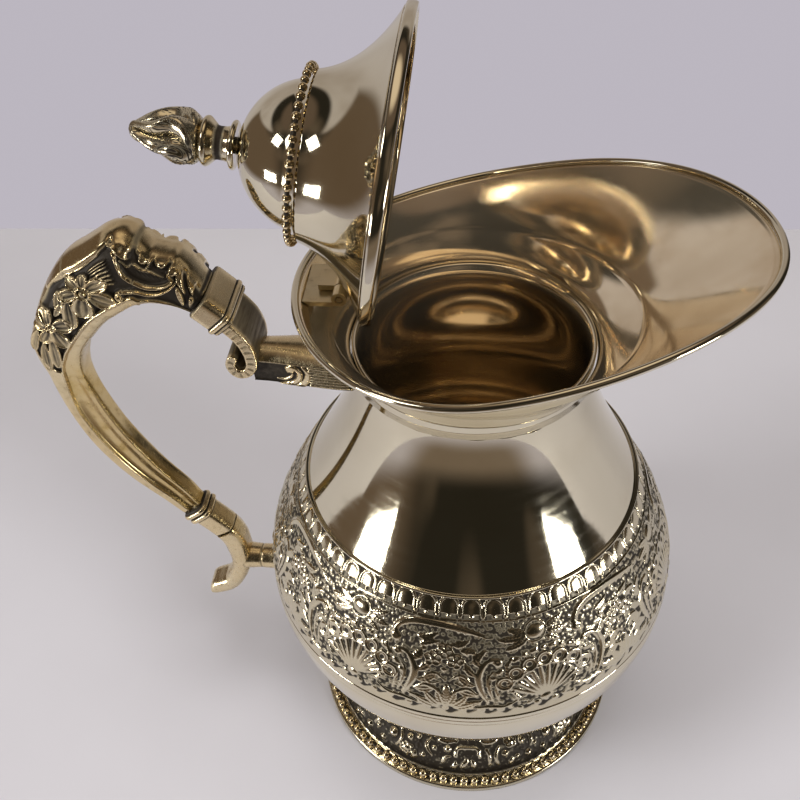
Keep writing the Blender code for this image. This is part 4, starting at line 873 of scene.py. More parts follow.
def beadTree():
    # beads on a ring, each a little off its size, with a thin wire between them
    tree, inputs = newTree("beadRing", {"Ring radius": 50.0, "Height": 0.0, "Bead radius": 1.5,
                                        "Wire radius": 0.5, "Count": 60, "Seed": 4})
    ring = makeNode(tree, "GeometryNodeCurvePrimitiveCircle", {},
                    {"Resolution": 240, "Radius": inputs["Ring radius"]})
    points = makeNode(tree, "GeometryNodeCurveToPoints", {"mode": "COUNT"},
                      {"Curve": ring, "Count": inputs["Count"]})
    bead = makeNode(tree, "GeometryNodeMeshUVSphere", {},
                    {"Segments": 18, "Rings": 12, "Radius": inputs["Bead radius"]})
    wobble = makeNode(tree, "FunctionNodeRandomValue", {"data_type": "FLOAT"},
                      {2: 0.93, 3: 1.04, "Seed": inputs["Seed"]}, 1)
    beads = makeNode(tree, "GeometryNodeInstanceOnPoints", {},
                     {"Points": points, "Instance": storeHollow(tree, bead, 0.10), "Scale": wobble})
    section = makeNode(tree, "GeometryNodeCurvePrimitiveCircle", {},
                       {"Resolution": 10, "Radius": inputs["Wire radius"]})
    wire = makeNode(tree, "GeometryNodeCurveToMesh", {}, {"Curve": ring, "Profile Curve": section})
    both = tree.nodes.new("GeometryNodeJoinGeometry")
    for part in (storeHollow(tree, wire, 1.0), beads):
        tree.links.new(part.socket, both.inputs[0])
    lift = makeNode(tree, "ShaderNodeCombineXYZ", {}, {"Z": inputs["Height"]})
    raised = makeNode(tree, "GeometryNodeTransform", {},
                      {"Geometry": Wire(both.outputs[0]), "Translation": lift})
    endTree(tree, inputs, raised)
    return tree


def wireTree():
    # a round wire along the carrier's edges, swelling a little by noise
    tree, inputs = newTree("wireOnEdge", {"Wire radius": 1.0, "Roughness": 0.0, "Grain": 3.0})
    line = makeNode(tree, "GeometryNodeMeshToCurve", {}, {"Mesh": inputs["Geometry"]})
    where = makeNode(tree, "GeometryNodeInputPosition")
    lumps = makeNode(tree, "ShaderNodeTexNoise", {},
                     {"Vector": where, "Scale": inputs["Grain"], "Detail": 2.0})
    swell = 1.0 + (lumps - 0.5) * inputs["Roughness"]
    sized = makeNode(tree, "GeometryNodeSetCurveRadius", {}, {"Curve": line, "Radius": swell})
    section = makeNode(tree, "GeometryNodeCurvePrimitiveCircle", {},
                       {"Resolution": 14, "Radius": inputs["Wire radius"]})
    tube = makeNode(tree, "GeometryNodeCurveToMesh", {},
                    {"Curve": sized, "Profile Curve": section, "Scale": swell})
    endTree(tree, inputs, tube)
    return tree


beadRing, wireOnEdge = beadTree(), wireTree()


def makeBeads(name, sizes, node, body="jug", place=None):
    # sizes: radius and height of the ring, radii of bead and wire, number of beads and their seed
    keys = ("Ring radius", "Height", "Bead radius", "Wire radius", "Count", "Seed")
    mesh = runTree(name, beadRing, dict(zip(keys, sizes)), beadBrass, place=place)
    addPiece(name, mesh, beadBrass, body, [node])


def makeWire(name, points, sizes, node):
    # a closed wire laid along the points
    line, count = bpy.data.meshes.new(name + "Line"), len(points)
    line.from_pydata(points.tolist(), [(k, (k + 1) % count) for k in range(count)], [])
    addPiece(name, runTree(name, wireOnEdge, sizes, trimBrass, line), trimBrass, nodes=[node])


rimSizes = {"Wire radius": collar["wire"] - 0.03, "Roughness": 0.03, "Grain": 0.4}
makeWire("rimWire", rimLine, rimSizes, "rim_wire")

# the solder that creeps out under the collar's skirt
seam = {"radius": 35.65, "z": 170.9, "steps": 300, "wander": 0.18, "wire": 0.3, "rough": 1.0, "grain": 0.5}
seamTurn = turnSteps(seam["steps"])
seamZ = seam["z"] + sum(seam["wander"] * np.sin(k * seamTurn + k) for k in (5, 9, 16, 27))
seamSizes = {"Wire radius": seam["wire"], "Roughness": seam["rough"], "Grain": seam["grain"]}
makeWire("solderSeam", polar(seam["radius"], seamZ, seamTurn), seamSizes, "collar_spout")


# foot: domed casting with a relief, beaded wire and the plain ring it stands on
foot = {"high": 26.2, "wall": 1.5, "seatWide": 8.0, "domeR": 54.0, "ringR": 58.6, "ringHigh": 3.0,
        "ringWide": 8.5, "beadR": 1.7, "beads": 90, "steps": 880, "rows": 98, "deep": 1.1, "sink": 0.55,
        "repeats": 5, "from": -126.0, "refR": 46.0, "ringSteps": 240, "ringCorner": 0.9}


def footOutline():
    base = foot["ringHigh"] + 0.3
    high = foot["high"] - base
    wide = foot["domeR"] - bottomR
    stations = [(0, 0), (-0.8, 0.07), (0.6, 0.20), (wide * 0.22, 0.32), (wide * 0.50, 0.40),
                (wide * 0.76, 0.54), (wide * 0.93, 0.76), (wide, 1.0)]
    return np.array([(bottomR + r, foot["high"] - high * down) for r, down in stations])


def drawFoot(wide, tall):
    # cast flowers and leaves under the belly, knobs, a panel and leaf tips running out to the beads
    draw = Relief(wide, tall)
    draw.grains(3.5, tall - 2.6, 0.6, 1.4, 0.28, 23)
    for x, t, r, high in ((4.1, 26.8, 1.8, 1.25), (10.6, 25.4, 1.2, 0.95), (24.7, 25.6, 1.3, 1.1),
                          (51.2, 25.2, 1.4, 1.1), (1.2, 31.4, 1.1, 0.9), (16.8, 30.6, 1.0, 0.8),
                          (20.2, 26.4, 0.9, 0.8), (44.6, 28.4, 1.2, 0.9), (52.8, 31.2, 1.3, 1.0),
                          (48.4, 31.0, 0.9, 0.8), (56.2, 28.4, 0.9, 0.8), (14.0, 24.0, 1.0, 0.8)):
        draw.dome(x, t, r, r * 1.15, high)
    draw.flower(10.3, 30.4, 6, 1.75, 1.05, 0.8, turn=0.3, eye=1.1)
    draw.flower(47.2, 24.4, 5, 1.5, 0.95, 0.75, turn=0.9, eye=0.9)
    draw.stroke([(27.4, 28.2), (28.2, 25.0), (31.6, 24.5), (35.2, 24.9), (36.0, 28.4)], 0.7, 0.8, (0.7, 0.7))
    for points in (((23.4, 32.0), (24.3, 29.2), (26.2, 28.2)), ((38.4, 25.2), (39.4, 28.6), (39.0, 32.6)),
                   ((6.4, 23.6), (7.6, 27.4), (6.2, 31.4)), ((18.4, 23.0), (17.4, 26.6), (20.0, 29.8)),
                   ((42.0, 32.8), (41.4, 29.0), (43.0, 24.6)), ((54.2, 22.6), (55.4, 25.8), (54.0, 29.0))):
        draw.stroke(points, 0.62, 0.85, (0.5, 0.3))
    for foot, tip, half in (((29.5, 33.2), (31.6, 28.2), 1.0), ((34.0, 33.2), (33.0, 28.8), 0.9),
                            ((2.6, 22.4), (9.8, 22.0), 1.5), ((13.0, 34.0), (13.8, 29.6), 1.0),
                            ((26.8, 33.8), (27.6, 30.2), 0.8), ((21.0, 22.8), (28.4, 21.6), 1.5),
                            ((36.4, 21.8), (43.2, 22.4), 1.5), ((45.6, 34.0), (46.6, 30.4), 0.9)):
        draw.leaf(foot, tip, half, 0.85, bend=0.3)
    for k in range(5):
        x = wide * (k + 0.5) / 5
        draw.flower(x, 14.6, 5, 2.0, 1.35, 0.8, turn=k * 1.3, eye=1.1)
        for side in (-1, 1):
            draw.leaf((x + side * 2.9, 14.0), (x + side * 5.6, 10.4 + k % 2), 1.3, 0.8, bend=side * 0.6)
            draw.leaf((x + side * 2.6, 16.6), (x + side * 5.4, 19.0), 1.2, 0.8, bend=-side * 0.5)
        draw.dome(x + wide / 10, 8.0, 1.0, 1.3, 0.7)
    return draw


def makeFoot():
    outline = footOutline()
    path = Path(smoothLine(outline, 12))
    long = path.run[-1]
    runs = np.linspace(0, long, foot["rows"])
    point, _ = path.at(runs)
    out = leftOf(np.gradient(point, axis=0))
    draw = drawFoot(2 * math.pi * foot["refR"] / foot["repeats"], long)
    angle = turnSteps(foot["steps"])
    a, t = np.meshgrid(angle, runs)
    x = (a - math.radians(foot["from"])) * foot["refR"] + sum(0.2 * np.sin(k * a + k) for k in (3, 7, 13))
    depth = t + sum(0.2 * np.sin(k * a + 2 * k) for k in (4, 9))
    height, around = draw.read(0.2, x, depth), draw.read(1.4, x, depth)
    fade = smoothStep(t, 2.6, 4.2) * smoothStep(t, long - 0.3, long - 1.4)
    hollow = np.clip((around - height + 0.12) / 0.4, 0, 1) * fade
    hollow = np.maximum(hollow, np.clip(0.92 - height * 1.9, 0, 1) * fade)
    rise = (height * foot["deep"] - foot["sink"]) * fade
    outer = wound(point[:, None] + out[:, None] * rise[..., None], angle)
    wall = foot["wall"]
    # the inner side keeps to the outline of the solid, a wall behind it
    seatR = bottomR - foot["seatWide"]
    innerLine = [(foot["domeR"] - wall * 1.3, foot["ringHigh"] + 0.3),
                 (outline[6][0] - wall, outline[6][1] - 0.5)]
    innerLine += [(r - wall, z - wall) for r, z in outline[5:1:-1]]
    innerLine = np.array(innerLine + [(seatR, foot["high"] - wall), (seatR, foot["high"])])
    inner = wound(innerLine, angle)
    inner[:, :, 2] -= 0.25 * (inner[:, :, 2] > foot["ringHigh"] + 1)
    marks = {"hollow": np.concatenate([hollow.ravel(), np.full(inner[..., 0].size, 0.35)])}
    mesh = tubeMesh("foot", np.concatenate([outer, inner]), marks=marks, wrapRows=True)
    addPiece("footDome", mesh, footBrass, nodes=["foot_casting"])
    ringR, ringHigh = foot["ringR"], foot["ringHigh"]
    corner = foot["ringCorner"]
    edge = [(ringR - foot["ringWide"], ringHigh), (ringR - 3.6, ringHigh), (ringR - 3.2, ringHigh - 0.25)]
    edge += [(ringR - corner + corner * math.sin(k), ringHigh - 0.25 - corner + corner * math.cos(k))
             for k in np.linspace(0, 1.57, 7)]
    edge += [(ringR, 0.5), (ringR - 0.35, 0.0), (ringR - foot["ringWide"], 0.0)]
    mesh = turnedMesh("footRing", edge, foot["ringSteps"])
    addPiece("footRing", mesh, ringBrass, nodes=["foot_base_ring"])
    beadR = foot["beadR"]
    makeBeads("footBeads", (foot["domeR"] + 2.2, ringHigh + 0.3 + beadR, beadR * 0.9, 0.5, foot["beads"], 4),
              "foot_bead_ring")


makeFoot()
print("foot cast")


# lid, drawn closed over its own rim plane and then turned open about the hinge
lid = {"rimR": 38.5, "lift": -1.0, "wall": 1.0, "bandHigh": 2.8, "shoulderR": 20.6, "shoulderHigh": 21.2,
       "domeR": 18.0, "domeBase": 24.3, "top": 38.4, "beadR": 1.4, "beads": 50, "stud": 2.0, "open": 80.5,
       "hingeInset": 2.7, "hingeRise": 9.8, "steps": 200}
hingeX = -(lid["rimR"] - lid["hingeInset"])
hingeZ = collar["ledgeZ"] + lid["lift"] + lid["hingeRise"]
lidPlace = (Matrix.Translation((axisX + hingeX * mm, 0, hingeZ * mm))
            @ Matrix.Rotation(-math.radians(lid["open"]), 4, "Y")
            @ Matrix.Translation((-hingeX * mm, 0, -lid["hingeRise"] * mm)))


def lidOutline():
    seat = lid["bandHigh"] + 0.3
    flare = ((lid["rimR"] - 1.1, seat), (lid["rimR"] - 9.0, seat + 3.9),
             (lid["shoulderR"] + 2.1, lid["shoulderHigh"] * 0.61), (lid["shoulderR"], lid["shoulderHigh"]))
    rise = lid["top"] - lid["domeBase"]
    ballR = (lid["domeR"] ** 2 + rise ** 2) / (2 * rise)
    turn = np.linspace(math.asin((lid["stud"] + 0.3) / ballR), math.asin(lid["domeR"] / ballR), 34)
    dome = np.stack([ballR * np.sin(turn), lid["top"] - ballR + ballR * np.cos(turn)], -1)
    step = np.array([(lid["shoulderR"] - lid["beadR"], lid["shoulderHigh"] + lid["beadR"] * 0.5)])
    return dome, step, bezier(flare, np.linspace(1, 0, 60))


def makeLid():
    dome, step, flare = lidOutline()
    outer = np.concatenate([dome, step, flare])
    lining = np.concatenate([insideOf(dome, lid["wall"])[:-2:2], insideOf(flare, lid["wall"])[1::2]])
    lining[0] = (lid["stud"] + 0.3, lid["top"] - lid["wall"])
    lining[-1] = (outer[-1, 0] - lid["wall"], outer[-1, 1])
    inside = np.concatenate([np.zeros(len(outer)), np.ones(len(lining))])
    profile = np.concatenate([outer, lining[::-1]])
    mesh = turnedMesh("lidBell", profile, lid["steps"], lidPlace, {"inside": inside})
    addPiece("lidBell", mesh, paleBrass, "lid", nodes=["lid_bell"])
    rimR, high = lid["rimR"], lid["bandHigh"]
    edge = [(rimR - 1.2, high), (rimR - 0.45, high), (rimR - 0.16, high - 0.2), (rimR - 0.04, high - 0.75),
            (rimR, high / 2), (rimR - 0.04, 0.75), (rimR - 0.16, 0.2), (rimR - 0.45, 0.0), (rimR - 1.2, 0.0)]
    mesh = turnedMesh("lidBand", edge, lid["steps"], lidPlace)
    addPiece("lidBand", mesh, trimBrass, "lid", ["lid_rim_band"])
    beadR = lid["beadR"]
    sizes = (lid["shoulderR"] + beadR * 0.3, lid["shoulderHigh"] + beadR * 1.1, beadR * 0.78, 0.6,
             lid["beads"], 9)
    makeBeads("lidBeads", sizes, "lid_bead_ring", "lid", lidPlace)


makeLid()
print("lid raised")

# finial: the flame's sizes are the names of its tree's inputs
flame = {"Bud radius": 6.5, "Foot": 47.7, "Height": 17.6, "Flutes": 5, "Twist": 1.35, "Sway": 0.40,
         "Depth": 0.72}
finial = {"seat": 38.7, "washerR": 6.0, "washerHigh": 1.4, "neckR": 4.1, "collarR": 6.0, "stemHigh": 7.3,
          "studLong": 11.5, "steps": 96}
budOutline = ((0.0, 0.62), (0.07, 0.90), (0.20, 1.0), (0.33, 0.99), (0.46, 0.91), (0.59, 0.78), (0.72, 0.62),
              (0.84, 0.45), (0.93, 0.32), (1.0, 0.0))


def flameTree():
    # a sheet wound into a bud: lobes with sharp valleys that turn as they rise
    tree, inputs = newTree("flame", flame)
    sheet = makeNode(tree, "GeometryNodeMeshGrid", {},
                     {"Size X": 1.0, "Size Y": 1.0, "Vertices X": 193, "Vertices Y": 131})
    turn, rise, _ = splitAxes(tree, makeNode(tree, "GeometryNodeInputPosition"))
    angle, share = (turn + 0.5) * (2 * math.pi), rise + 0.5
    swell = makeNode(tree, "ShaderNodeFloatCurve", {"curve": budOutline}, {"Value": share})
    lean = inputs["Twist"] * share + inputs["Sway"] * (share * 2 * math.pi).math("SINE")
    phase = (angle - lean) * inputs["Flutes"]
    lobe = (phase * 0.5).math("COSINE").math("ABSOLUTE") ** 0.7
    vein = (phase * 2.0).math("COSINE") * 0.018
    # the valleys deepen from the foot and run out at the tip
    tip = 1.0 - (share - 0.8).math("MAXIMUM", 0.0) * 2.6
    depth = inputs["Depth"] * (share * 2.7).math("MINIMUM", 1.0) * tip
    radius = swell * inputs["Bud radius"] * (1.08 + depth * (lobe - 1.0) + vein * depth * 3.0)
    point = makeNode(tree, "ShaderNodeCombineXYZ", {},
                     {"X": radius * angle.math("COSINE"), "Y": radius * angle.math("SINE"),
                      "Z": inputs["Foot"] + share * inputs["Height"]})
    wound = makeNode(tree, "GeometryNodeSetPosition", {}, {"Geometry": sheet, "Position": point})
    hollow = (1.0 - lobe * 1.25) * 1.6 + (vein * -7.0)
    marked = storeHollow(tree, wound, hollow.clamp())
    closed = makeNode(tree, "GeometryNodeMergeByDistance", {}, {"Geometry": marked, "Distance": 0.002})
    endTree(tree, inputs, closed)
    return tree


def makeFinial():
    mesh = runTree("finialFlame", flameTree(), flame, finialBrass, place=lidPlace)
    addPiece("finialFlame", mesh, finialBrass, "lid", ["finial"])
    base = finial["seat"] + finial["washerHigh"] + 0.3
    neck, ring, stem = finial["neckR"], finial["collarR"], finial["stemHigh"]
    line = smoothLine([(ring * 0.75, base), (ring * 0.72, base + 0.5), (neck, base + stem * 0.20),
                       (neck, base + stem * 0.42), (ring * 0.82, base + stem * 0.55),
                       (ring, base + stem * 0.72), (ring * 0.98, base + stem * 0.86),
                       (ring * 0.80, base + stem * 0.97)], 8)
    low = base - finial["studLong"]
    profile = [(0, low), (lid["stud"], low), (lid["stud"], base - 0.05)] + line.tolist()
    profile += [(ring * 0.6, base + stem + 0.6), (0, base + stem + 0.6)]
    hollows = [0.3] * 3 + [0.75 * bump(z, base + 2.4, 1.2) for _, z in line] + [0.6, 0.6]
    mesh = turnedMesh("finialStem", profile, finial["steps"], lidPlace, {"hollow": hollows})
    addPiece("finialStem", mesh, finialBrass, "lid", ["finial"])
    # the washer is a disc with a round edge
    bore, seat, half, r = lid["stud"] + 0.3, finial["seat"], finial["washerHigh"] / 2, finial["washerR"]
    edge = [(bore, seat + 2 * half)]
    edge += [(r - half + half * math.cos(k), seat + half + half * math.sin(k))
             for k in np.linspace(1.57, -1.57, 9)]
    edge += [(bore, seat)]
    mesh = turnedMesh("finialWasher", edge, finial["steps"], lidPlace)
    addPiece("finialWasher", mesh, trimBrass, "lid", ["finial_washer"])


makeFinial()
print("finial turned")

# the small parts that stay as packed only take their material
for node, material in (("finial_nut", hingeBrass), ("hinge_body_leaf", hingeBrass),
                       ("hinge_lid_leaf", hingeBrass), ("hinge_pin", strapBrass)):
    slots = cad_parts[node].data.materials
    slots.clear()
    slots.append(material)


# handle: one route in the XZ plane from the upper curl through the grip to the lower curl
route = {"upperAnchor": (-59.1, 167.0), "stemZ": 62.0, "stemLong": 19.6, "rise": 15.4, "drop": 18.0,
         "reach": 64.8, "steps": 16,
         "upperCurl": ((-0.669, 0.182), (-0.714, 0.052), (-0.675, -0.091), (-0.571, -0.169),
                       (-0.422, -0.130), (-0.318, 0.013), (-0.299, 0.195), (-0.318, 0.370),
                       (-0.383, 0.591), (-0.494, 0.779), (-0.675, 1.0)),
         "grip": ((-0.212, 0.352), (-0.256, 0.467), (-0.296, 0.650), (-0.254, 0.811), (-0.155, 0.928),
                  (-0.032, 0.992), (0.124, 0.961), (0.323, 0.822), (0.507, 0.616), (0.642, 0.413),
                  (0.709, 0.316)),
         "lowerCurl": ((-0.111, 0.917), (0.017, 0.317), (-0.028, -0.233), (-0.289, -0.778), (-0.622, -1.0))}
stemFootR = float(bodyPath.at(runAt(route["stemZ"]))[0][0])
upperAnchor = np.array(route["upperAnchor"])
lowerAnchor = np.array((-(stemFootR + route["stemLong"]), route["stemZ"]))
upperPoints = upperAnchor + np.array(route["upperCurl"]) * route["rise"]
gripPoints = np.array([upperAnchor + (lowerAnchor - upperAnchor) * d - (out * route["reach"], 0)
                       for d, out in route["grip"]])
lowerPoints = lowerAnchor + np.array(route["lowerCurl"]) * route["drop"]
routePath = Path(smoothLine(np.concatenate([upperPoints, gripPoints, lowerPoints]), route["steps"]))
gripFrom = routePath.run[route["steps"] * len(upperPoints)]
gripTo = routePath.run[route["steps"] * (len(upperPoints) + len(gripPoints) - 1)]
routeEnd = routePath.run[-1]


def onRoute(run):
    # point, and the side that faces away from the jug
    point, left = routePath.at(run)
    return point, -left


def pushOut(grid, out, amount):
    # moves the rows of a grid outwards in the XZ plane, in place
    grid[..., 0] += out[:, :1] * amount
    grid[..., 2] += out[:, 1:] * amount


def blend(low, high, share):
    return low + (high - low) * smoothStep(share, 0, 1)


# shape: share along the grip, reach outwards and inwards as shares of its greatest thickness
# creases: place and width as shares of the length, and how dark they are
# flange: share along the grip and where its bright edge runs, from -1 inside to 1 outside
grip = {"thick": 24.3, "topW": 16.2, "lowW": 9.4, "waist": 0.25, "tongueInset": 1.6, "tongueLong": 6.0,
        "rows": (360, 120), "around": 196, "power": 0.50, "steady": 13, "crowd": 3.4, "ridge": 0.75,
        "edge": 0.45, "crown": 0.24, "drawnIn": 0.25, "climb": 0.8, "bedDeep": 0.75, "pitch": 0.12,
        "shape": ((0.00, 0.169, 0.169), (0.025, 0.238, 0.236), (0.05, 0.353, 0.278), (0.07, 0.399, 0.328),
                  (0.09, 0.344, 0.389), (0.11, 0.326, 0.446), (0.13, 0.532, 0.468), (0.15, 0.530, 0.461),
                  (0.17, 0.474, 0.453), (0.19, 0.449, 0.457), (0.22, 0.453, 0.461), (0.25, 0.439, 0.447),
                  (0.28, 0.419, 0.413), (0.31, 0.401, 0.391), (0.35, 0.374, 0.366), (0.39, 0.354, 0.333),
                  (0.43, 0.374, 0.295), (0.47, 0.316, 0.264), (0.51, 0.247, 0.245), (0.55, 0.249, 0.255),
                  (0.60, 0.260, 0.270), (0.66, 0.272, 0.282), (0.72, 0.288, 0.282), (0.78, 0.288, 0.282),
                  (0.84, 0.267, 0.270), (0.90, 0.240, 0.249), (0.95, 0.218, 0.230), (1.00, 0.181, 0.181)),
        "creases": ((0.121, 0.0035, 0.6), (0.232, 0.004, 0.5), (0.006, 0.006, 0.8)),
        "flange": ((0.0, -0.60), (0.10, -0.60), (0.20, -0.62), (0.30, -0.54), (0.40, -0.49), (0.44, -0.41),
                   (0.47, -0.24), (0.50, -0.06), (0.54, 0.10), (0.57, 0.25), (0.61, 0.36), (0.70, 0.30),
                   (0.80, 0.29), (0.88, 0.26), (0.95, 0.20), (1.0, 0.16))}
gripShape, gripFlange = np.array(grip["shape"]), np.array(grip["flange"])


def gripHalf(run):
    # half thickness, how far its middle stands out, half width, and how thin the grip has become
    share = (np.asarray(run, float) - gripFrom) / (gripTo - gripFrom)
    outward, inward = (np.interp(share, gripShape[:, 0], gripShape[:, k]) * grip["thick"] for k in (1, 2))
    thin = smoothStep(share, 0.33, 0.60)
    halfW = (grip["topW"] + (grip["lowW"] - grip["topW"]) * thin) / 2
    halfW = halfW * blend(1.0, 0.94, (share - 0.6) / 0.4)
    return (outward + inward) / 2, (outward - inward) / 2, halfW, thin, share


def tongueHalf(run):
    halfT, _, halfW, _, _ = gripHalf(run)
    return halfT - grip["tongueInset"], halfW - grip["tongueInset"]


def steadied(values):
    width = grip["steady"]
    return np.convolve(np.pad(values, width // 2, mode="edge"), np.ones(width) / width, "valid")


def superRing(run, halfT, halfW, sides, shift=0.0, power=grip["power"], cheekShare=1.0):
    # sections across the route, a run and sizes for each row; cheekShare crowds the points on the cheeks
    point, out = onRoute(run)
    angle = np.linspace(0, 2 * math.pi, 8001)
    c, s = np.cos(angle), np.sin(angle)
    across = np.sign(c) * np.abs(c) ** power
    side = np.sign(s) * np.abs(s) ** power
    walk = np.hypot(np.diff(across) * cheekShare, np.diff(side))
    walked = np.concatenate([[0], np.cumsum(walk)])
    at = np.interp((np.arange(sides) + 0.5) / sides * walked[-1], walked, angle)
    across, side = np.interp(at, angle, across), np.interp(at, angle, side)
    reach = halfT[:, None] * across + np.reshape(shift, (-1, 1))
    x = point[:, :1] + out[:, :1] * reach
    z = point[:, 1:] + out[:, 1:] * reach
    return np.stack([x, halfW[:, None] * side, z], -1), across, side


# the grip's side is drawn as seen from the front, measured from this corner of the XZ plane
sideCorner, sideSize = (-140.0, 218.0), (80.0, 66.0)
flowerBed = ((63.5, 31.5), (59.0, 29.0), (52.9, 27.4), (42.9, 28.6), (34.0, 33.6), (26.6, 40.2), (21.8, 47.4),
             (19.4, 54.0), (17.6, 59.6), (13.4, 58.0), (10.0, 50.0), (9.0, 43.0), (11.4, 36.6), (17.0, 29.0),
             (22.4, 22.4), (28.6, 18.4), (33.6, 16.0), (39.6, 11.4), (42.6, 7.0), (46.0, 5.4), (50.2, 8.4),
             (52.6, 9.4), (56.4, 7.6), (60.0, 10.4), (64.2, 14.6), (67.6, 19.0), (67.0, 26.0))


def insidePolygon(x, t, corners):
    inside = np.zeros(x.shape, bool)
    for (x0, t0), (x1, t1) in zip(corners, corners[1:] + corners[:1]):
        crosses = (t0 > t) != (t1 > t)
        inside ^= crosses & (x < (x1 - x0) * (t - t0) / (t1 - t0 + 1e-9) + x0)
    return inside


def drawPetal(draw, foot, tip, half, high, ribs=3):
    # a dished petal with a thin raised edge and fine veins down its middle
    where, along, across, _ = draw.along(foot, tip, half + 0.5)
    width = half * np.sin(np.pi * np.clip(along, 0, 1) ** 1.35) ** 0.5 + 1e-6
    share = np.hypot(across / width, np.clip(along * 2 - 1.55, 0, 1) * 1.6)
    inside = (along > 0.02) & (along < 0.99) & (np.abs(across) < width)
    edge = np.exp(-((share - 0.84) / 0.16) ** 2)
    veins = 0.10 * np.cos(2 * np.pi * ribs * across / (2 * width)) * np.clip(1 - share, 0, 1)
    value = high * (0.30 + 0.70 * edge) + veins - 0.12 * high * (1 - along)
    draw.lay(where, value, inside)


def drawGripSide():
    draw = Relief(*sideSize, grip["pitch"], wraps=False)
    x, t = np.meshgrid(np.arange(draw.cols) * draw.pitch, np.arange(draw.rows) * draw.pitch)
    bed = insidePolygon(x, t, flowerBed).astype(float)
    draw.height = -grip["bedDeep"] * bed
    # the two blossoms, their bud and leaves
    for foot, tip, half in (((24.6, 32.0), (24.7, 23.4), 2.1), ((27.6, 27.4), (26.2, 37.8), 2.2),
                            ((18.4, 41.0), (15.2, 56.0), 1.7), ((14.8, 44.0), (11.6, 57.4), 1.9),
                            ((13.6, 38.8), (9.6, 48.0), 1.6), ((22.0, 33.6), (25.4, 29.0), 1.1)):
        drawPetal(draw, foot, tip, half, 0.85, 4)
    for foot, tip, half in (((31.8, 24.6), (24.6, 25.8), 2.7), ((32.6, 25.6), (30.6, 33.4), 3.3),
                            ((34.0, 25.2), (41.6, 28.6), 2.9), ((33.8, 23.8), (40.8, 20.4), 2.5),
                            ((32.4, 23.4), (28.6, 18.2), 2.0), ((33.2, 23.2), (34.2, 17.6), 1.9)):
        drawPetal(draw, foot, tip, half, 1.0)
    for foot, tip, half in (((19.2, 37.0), (18.2, 30.0), 2.8), ((20.0, 37.2), (26.6, 36.2), 2.7),
                            ((20.0, 38.2), (21.8, 45.8), 2.8), ((18.8, 38.4), (14.4, 43.8), 2.5),
                            ((18.6, 37.4), (12.2, 35.2), 2.5)):
        drawPetal(draw, foot, tip, half, 1.0)
    for x0, t0, r in ((33.0, 24.8, 1.9), (19.3, 37.7, 1.35)):
        draw.ring(x0, t0, r, 0.42, 1.15)
        draw.dome(x0, t0, r * 0.62, r * 0.62, 1.25)
    for k in range(7):
        feather = [(35.6 + 0.45 * k, 17.4 + 0.9 * k), (38.2 + 0.45 * k, 14.8 + 1.1 * k),
                   (41.6 + 0.2 * k, 12.8 + 1.4 * k)]
        draw.stroke(feather, 0.34, 0.55, (0.3, 0.9))
    # the long C scroll round its hatched field, and the stroke under it
    draw.stroke([(44.6, 9.6), (45.2, 12.2), (45.6, 15.8), (46.5, 18.4), (48.8, 20.3), (52.3, 21.9),
                 (56.9, 21.4), (59.6, 19.2), (59.0, 17.0)], 0.62, 1.25, (0.5, 0.7))
    draw.stroke([(46.4, 12.6), (48.3, 15.0), (50.1, 13.1), (51.8, 14.9), (54.8, 16.1), (57.6, 18.2)], 0.42,
                0.95, (0.4, 0.4))
    for k in range(6):
        draw.stroke([(48.6 + 1.2 * k, 16.0 + 0.45 * k), (50.2 + 1.25 * k, 18.6 + 0.4 * k)], 0.2, -0.35)
    draw.stroke([(42.9, 26.6), (42.5, 25.2), (43.6, 24.0), (45.6, 23.8), (48.6, 23.6), (51.7, 24.4),
                 (55.2, 23.9), (58.4, 22.2), (60.6, 19.8)], 0.55, 1.05, (1.0, 0.5))
    draw.dome(43.1, 26.2, 1.05, 1.25, 1.15, dimple=0.2)
    # the rosette knob with the lumps of leaf beside it
    for x0, t0, r, high in ((55.6, 10.6, 2.9, 1.5), (53.0, 12.8, 1.7, 1.2), (57.2, 13.6, 2.2, 1.5),
                            (60.2, 12.6, 2.0, 1.3), (62.8, 14.4, 1.9, 1.1), (49.0, 8.4, 2.0, 1.0),
                            (46.2, 7.4, 1.9, 1.0), (47.6, 10.2, 1.5, 1.0), (58.4, 9.6, 1.6, 1.0),
                            (45.0, 10.0, 1.1, 0.8), (60.4, 16.4, 1.4, 1.0), (52.0, 11.0, 1.2, 0.9)):
        draw.dome(x0, t0, r, r * 0.82, high, turn=0.5, dimple=0.22 * high)
    draw.ring(55.4, 10.4, 1.35, 0.5, 1.9)
    for line in (((59.6, 14.0), (58.4, 11.6), (55.8, 12.9), (53.4, 15.0)),
                 ((50.6, 7.8), (52.8, 9.4), (54.2, 8.2)), ((43.2, 8.4), (45.4, 8.8), (48.8, 11.6)),
                 ((44.6, 6.4), (47.4, 5.8), (50.6, 7.6))):
        draw.stroke(line, 0.5, 1.5, (0.4, 0.4))
    for foot, tip in (((61.4, 16.4), (62.4, 23.8)), ((63.6, 16.2), (64.6, 24.4)),
                      ((66.0, 17.0), (66.2, 24.0)), ((60.2, 21.6), (61.0, 28.0)),
                      ((64.2, 24.4), (62.6, 28.6)), ((62.4, 12.8), (66.8, 16.0))):
        draw.leaf(foot, tip, 0.85, 1.0, ribs=0.05)
    # the smooth strap that frames the blossoms from behind
    draw.stroke([(20.4, 24.6), (26.2, 18.2), (32.6, 14.4), (38.2, 10.8), (43.0, 7.4)], 0.9, 0.75, (0.3, 0.8))
    draw.stroke([(19.4, 24.0), (25.4, 17.2), (31.8, 13.0), (37.6, 9.2), (42.2, 5.4)], 0.35, -0.5)
    return draw, bed


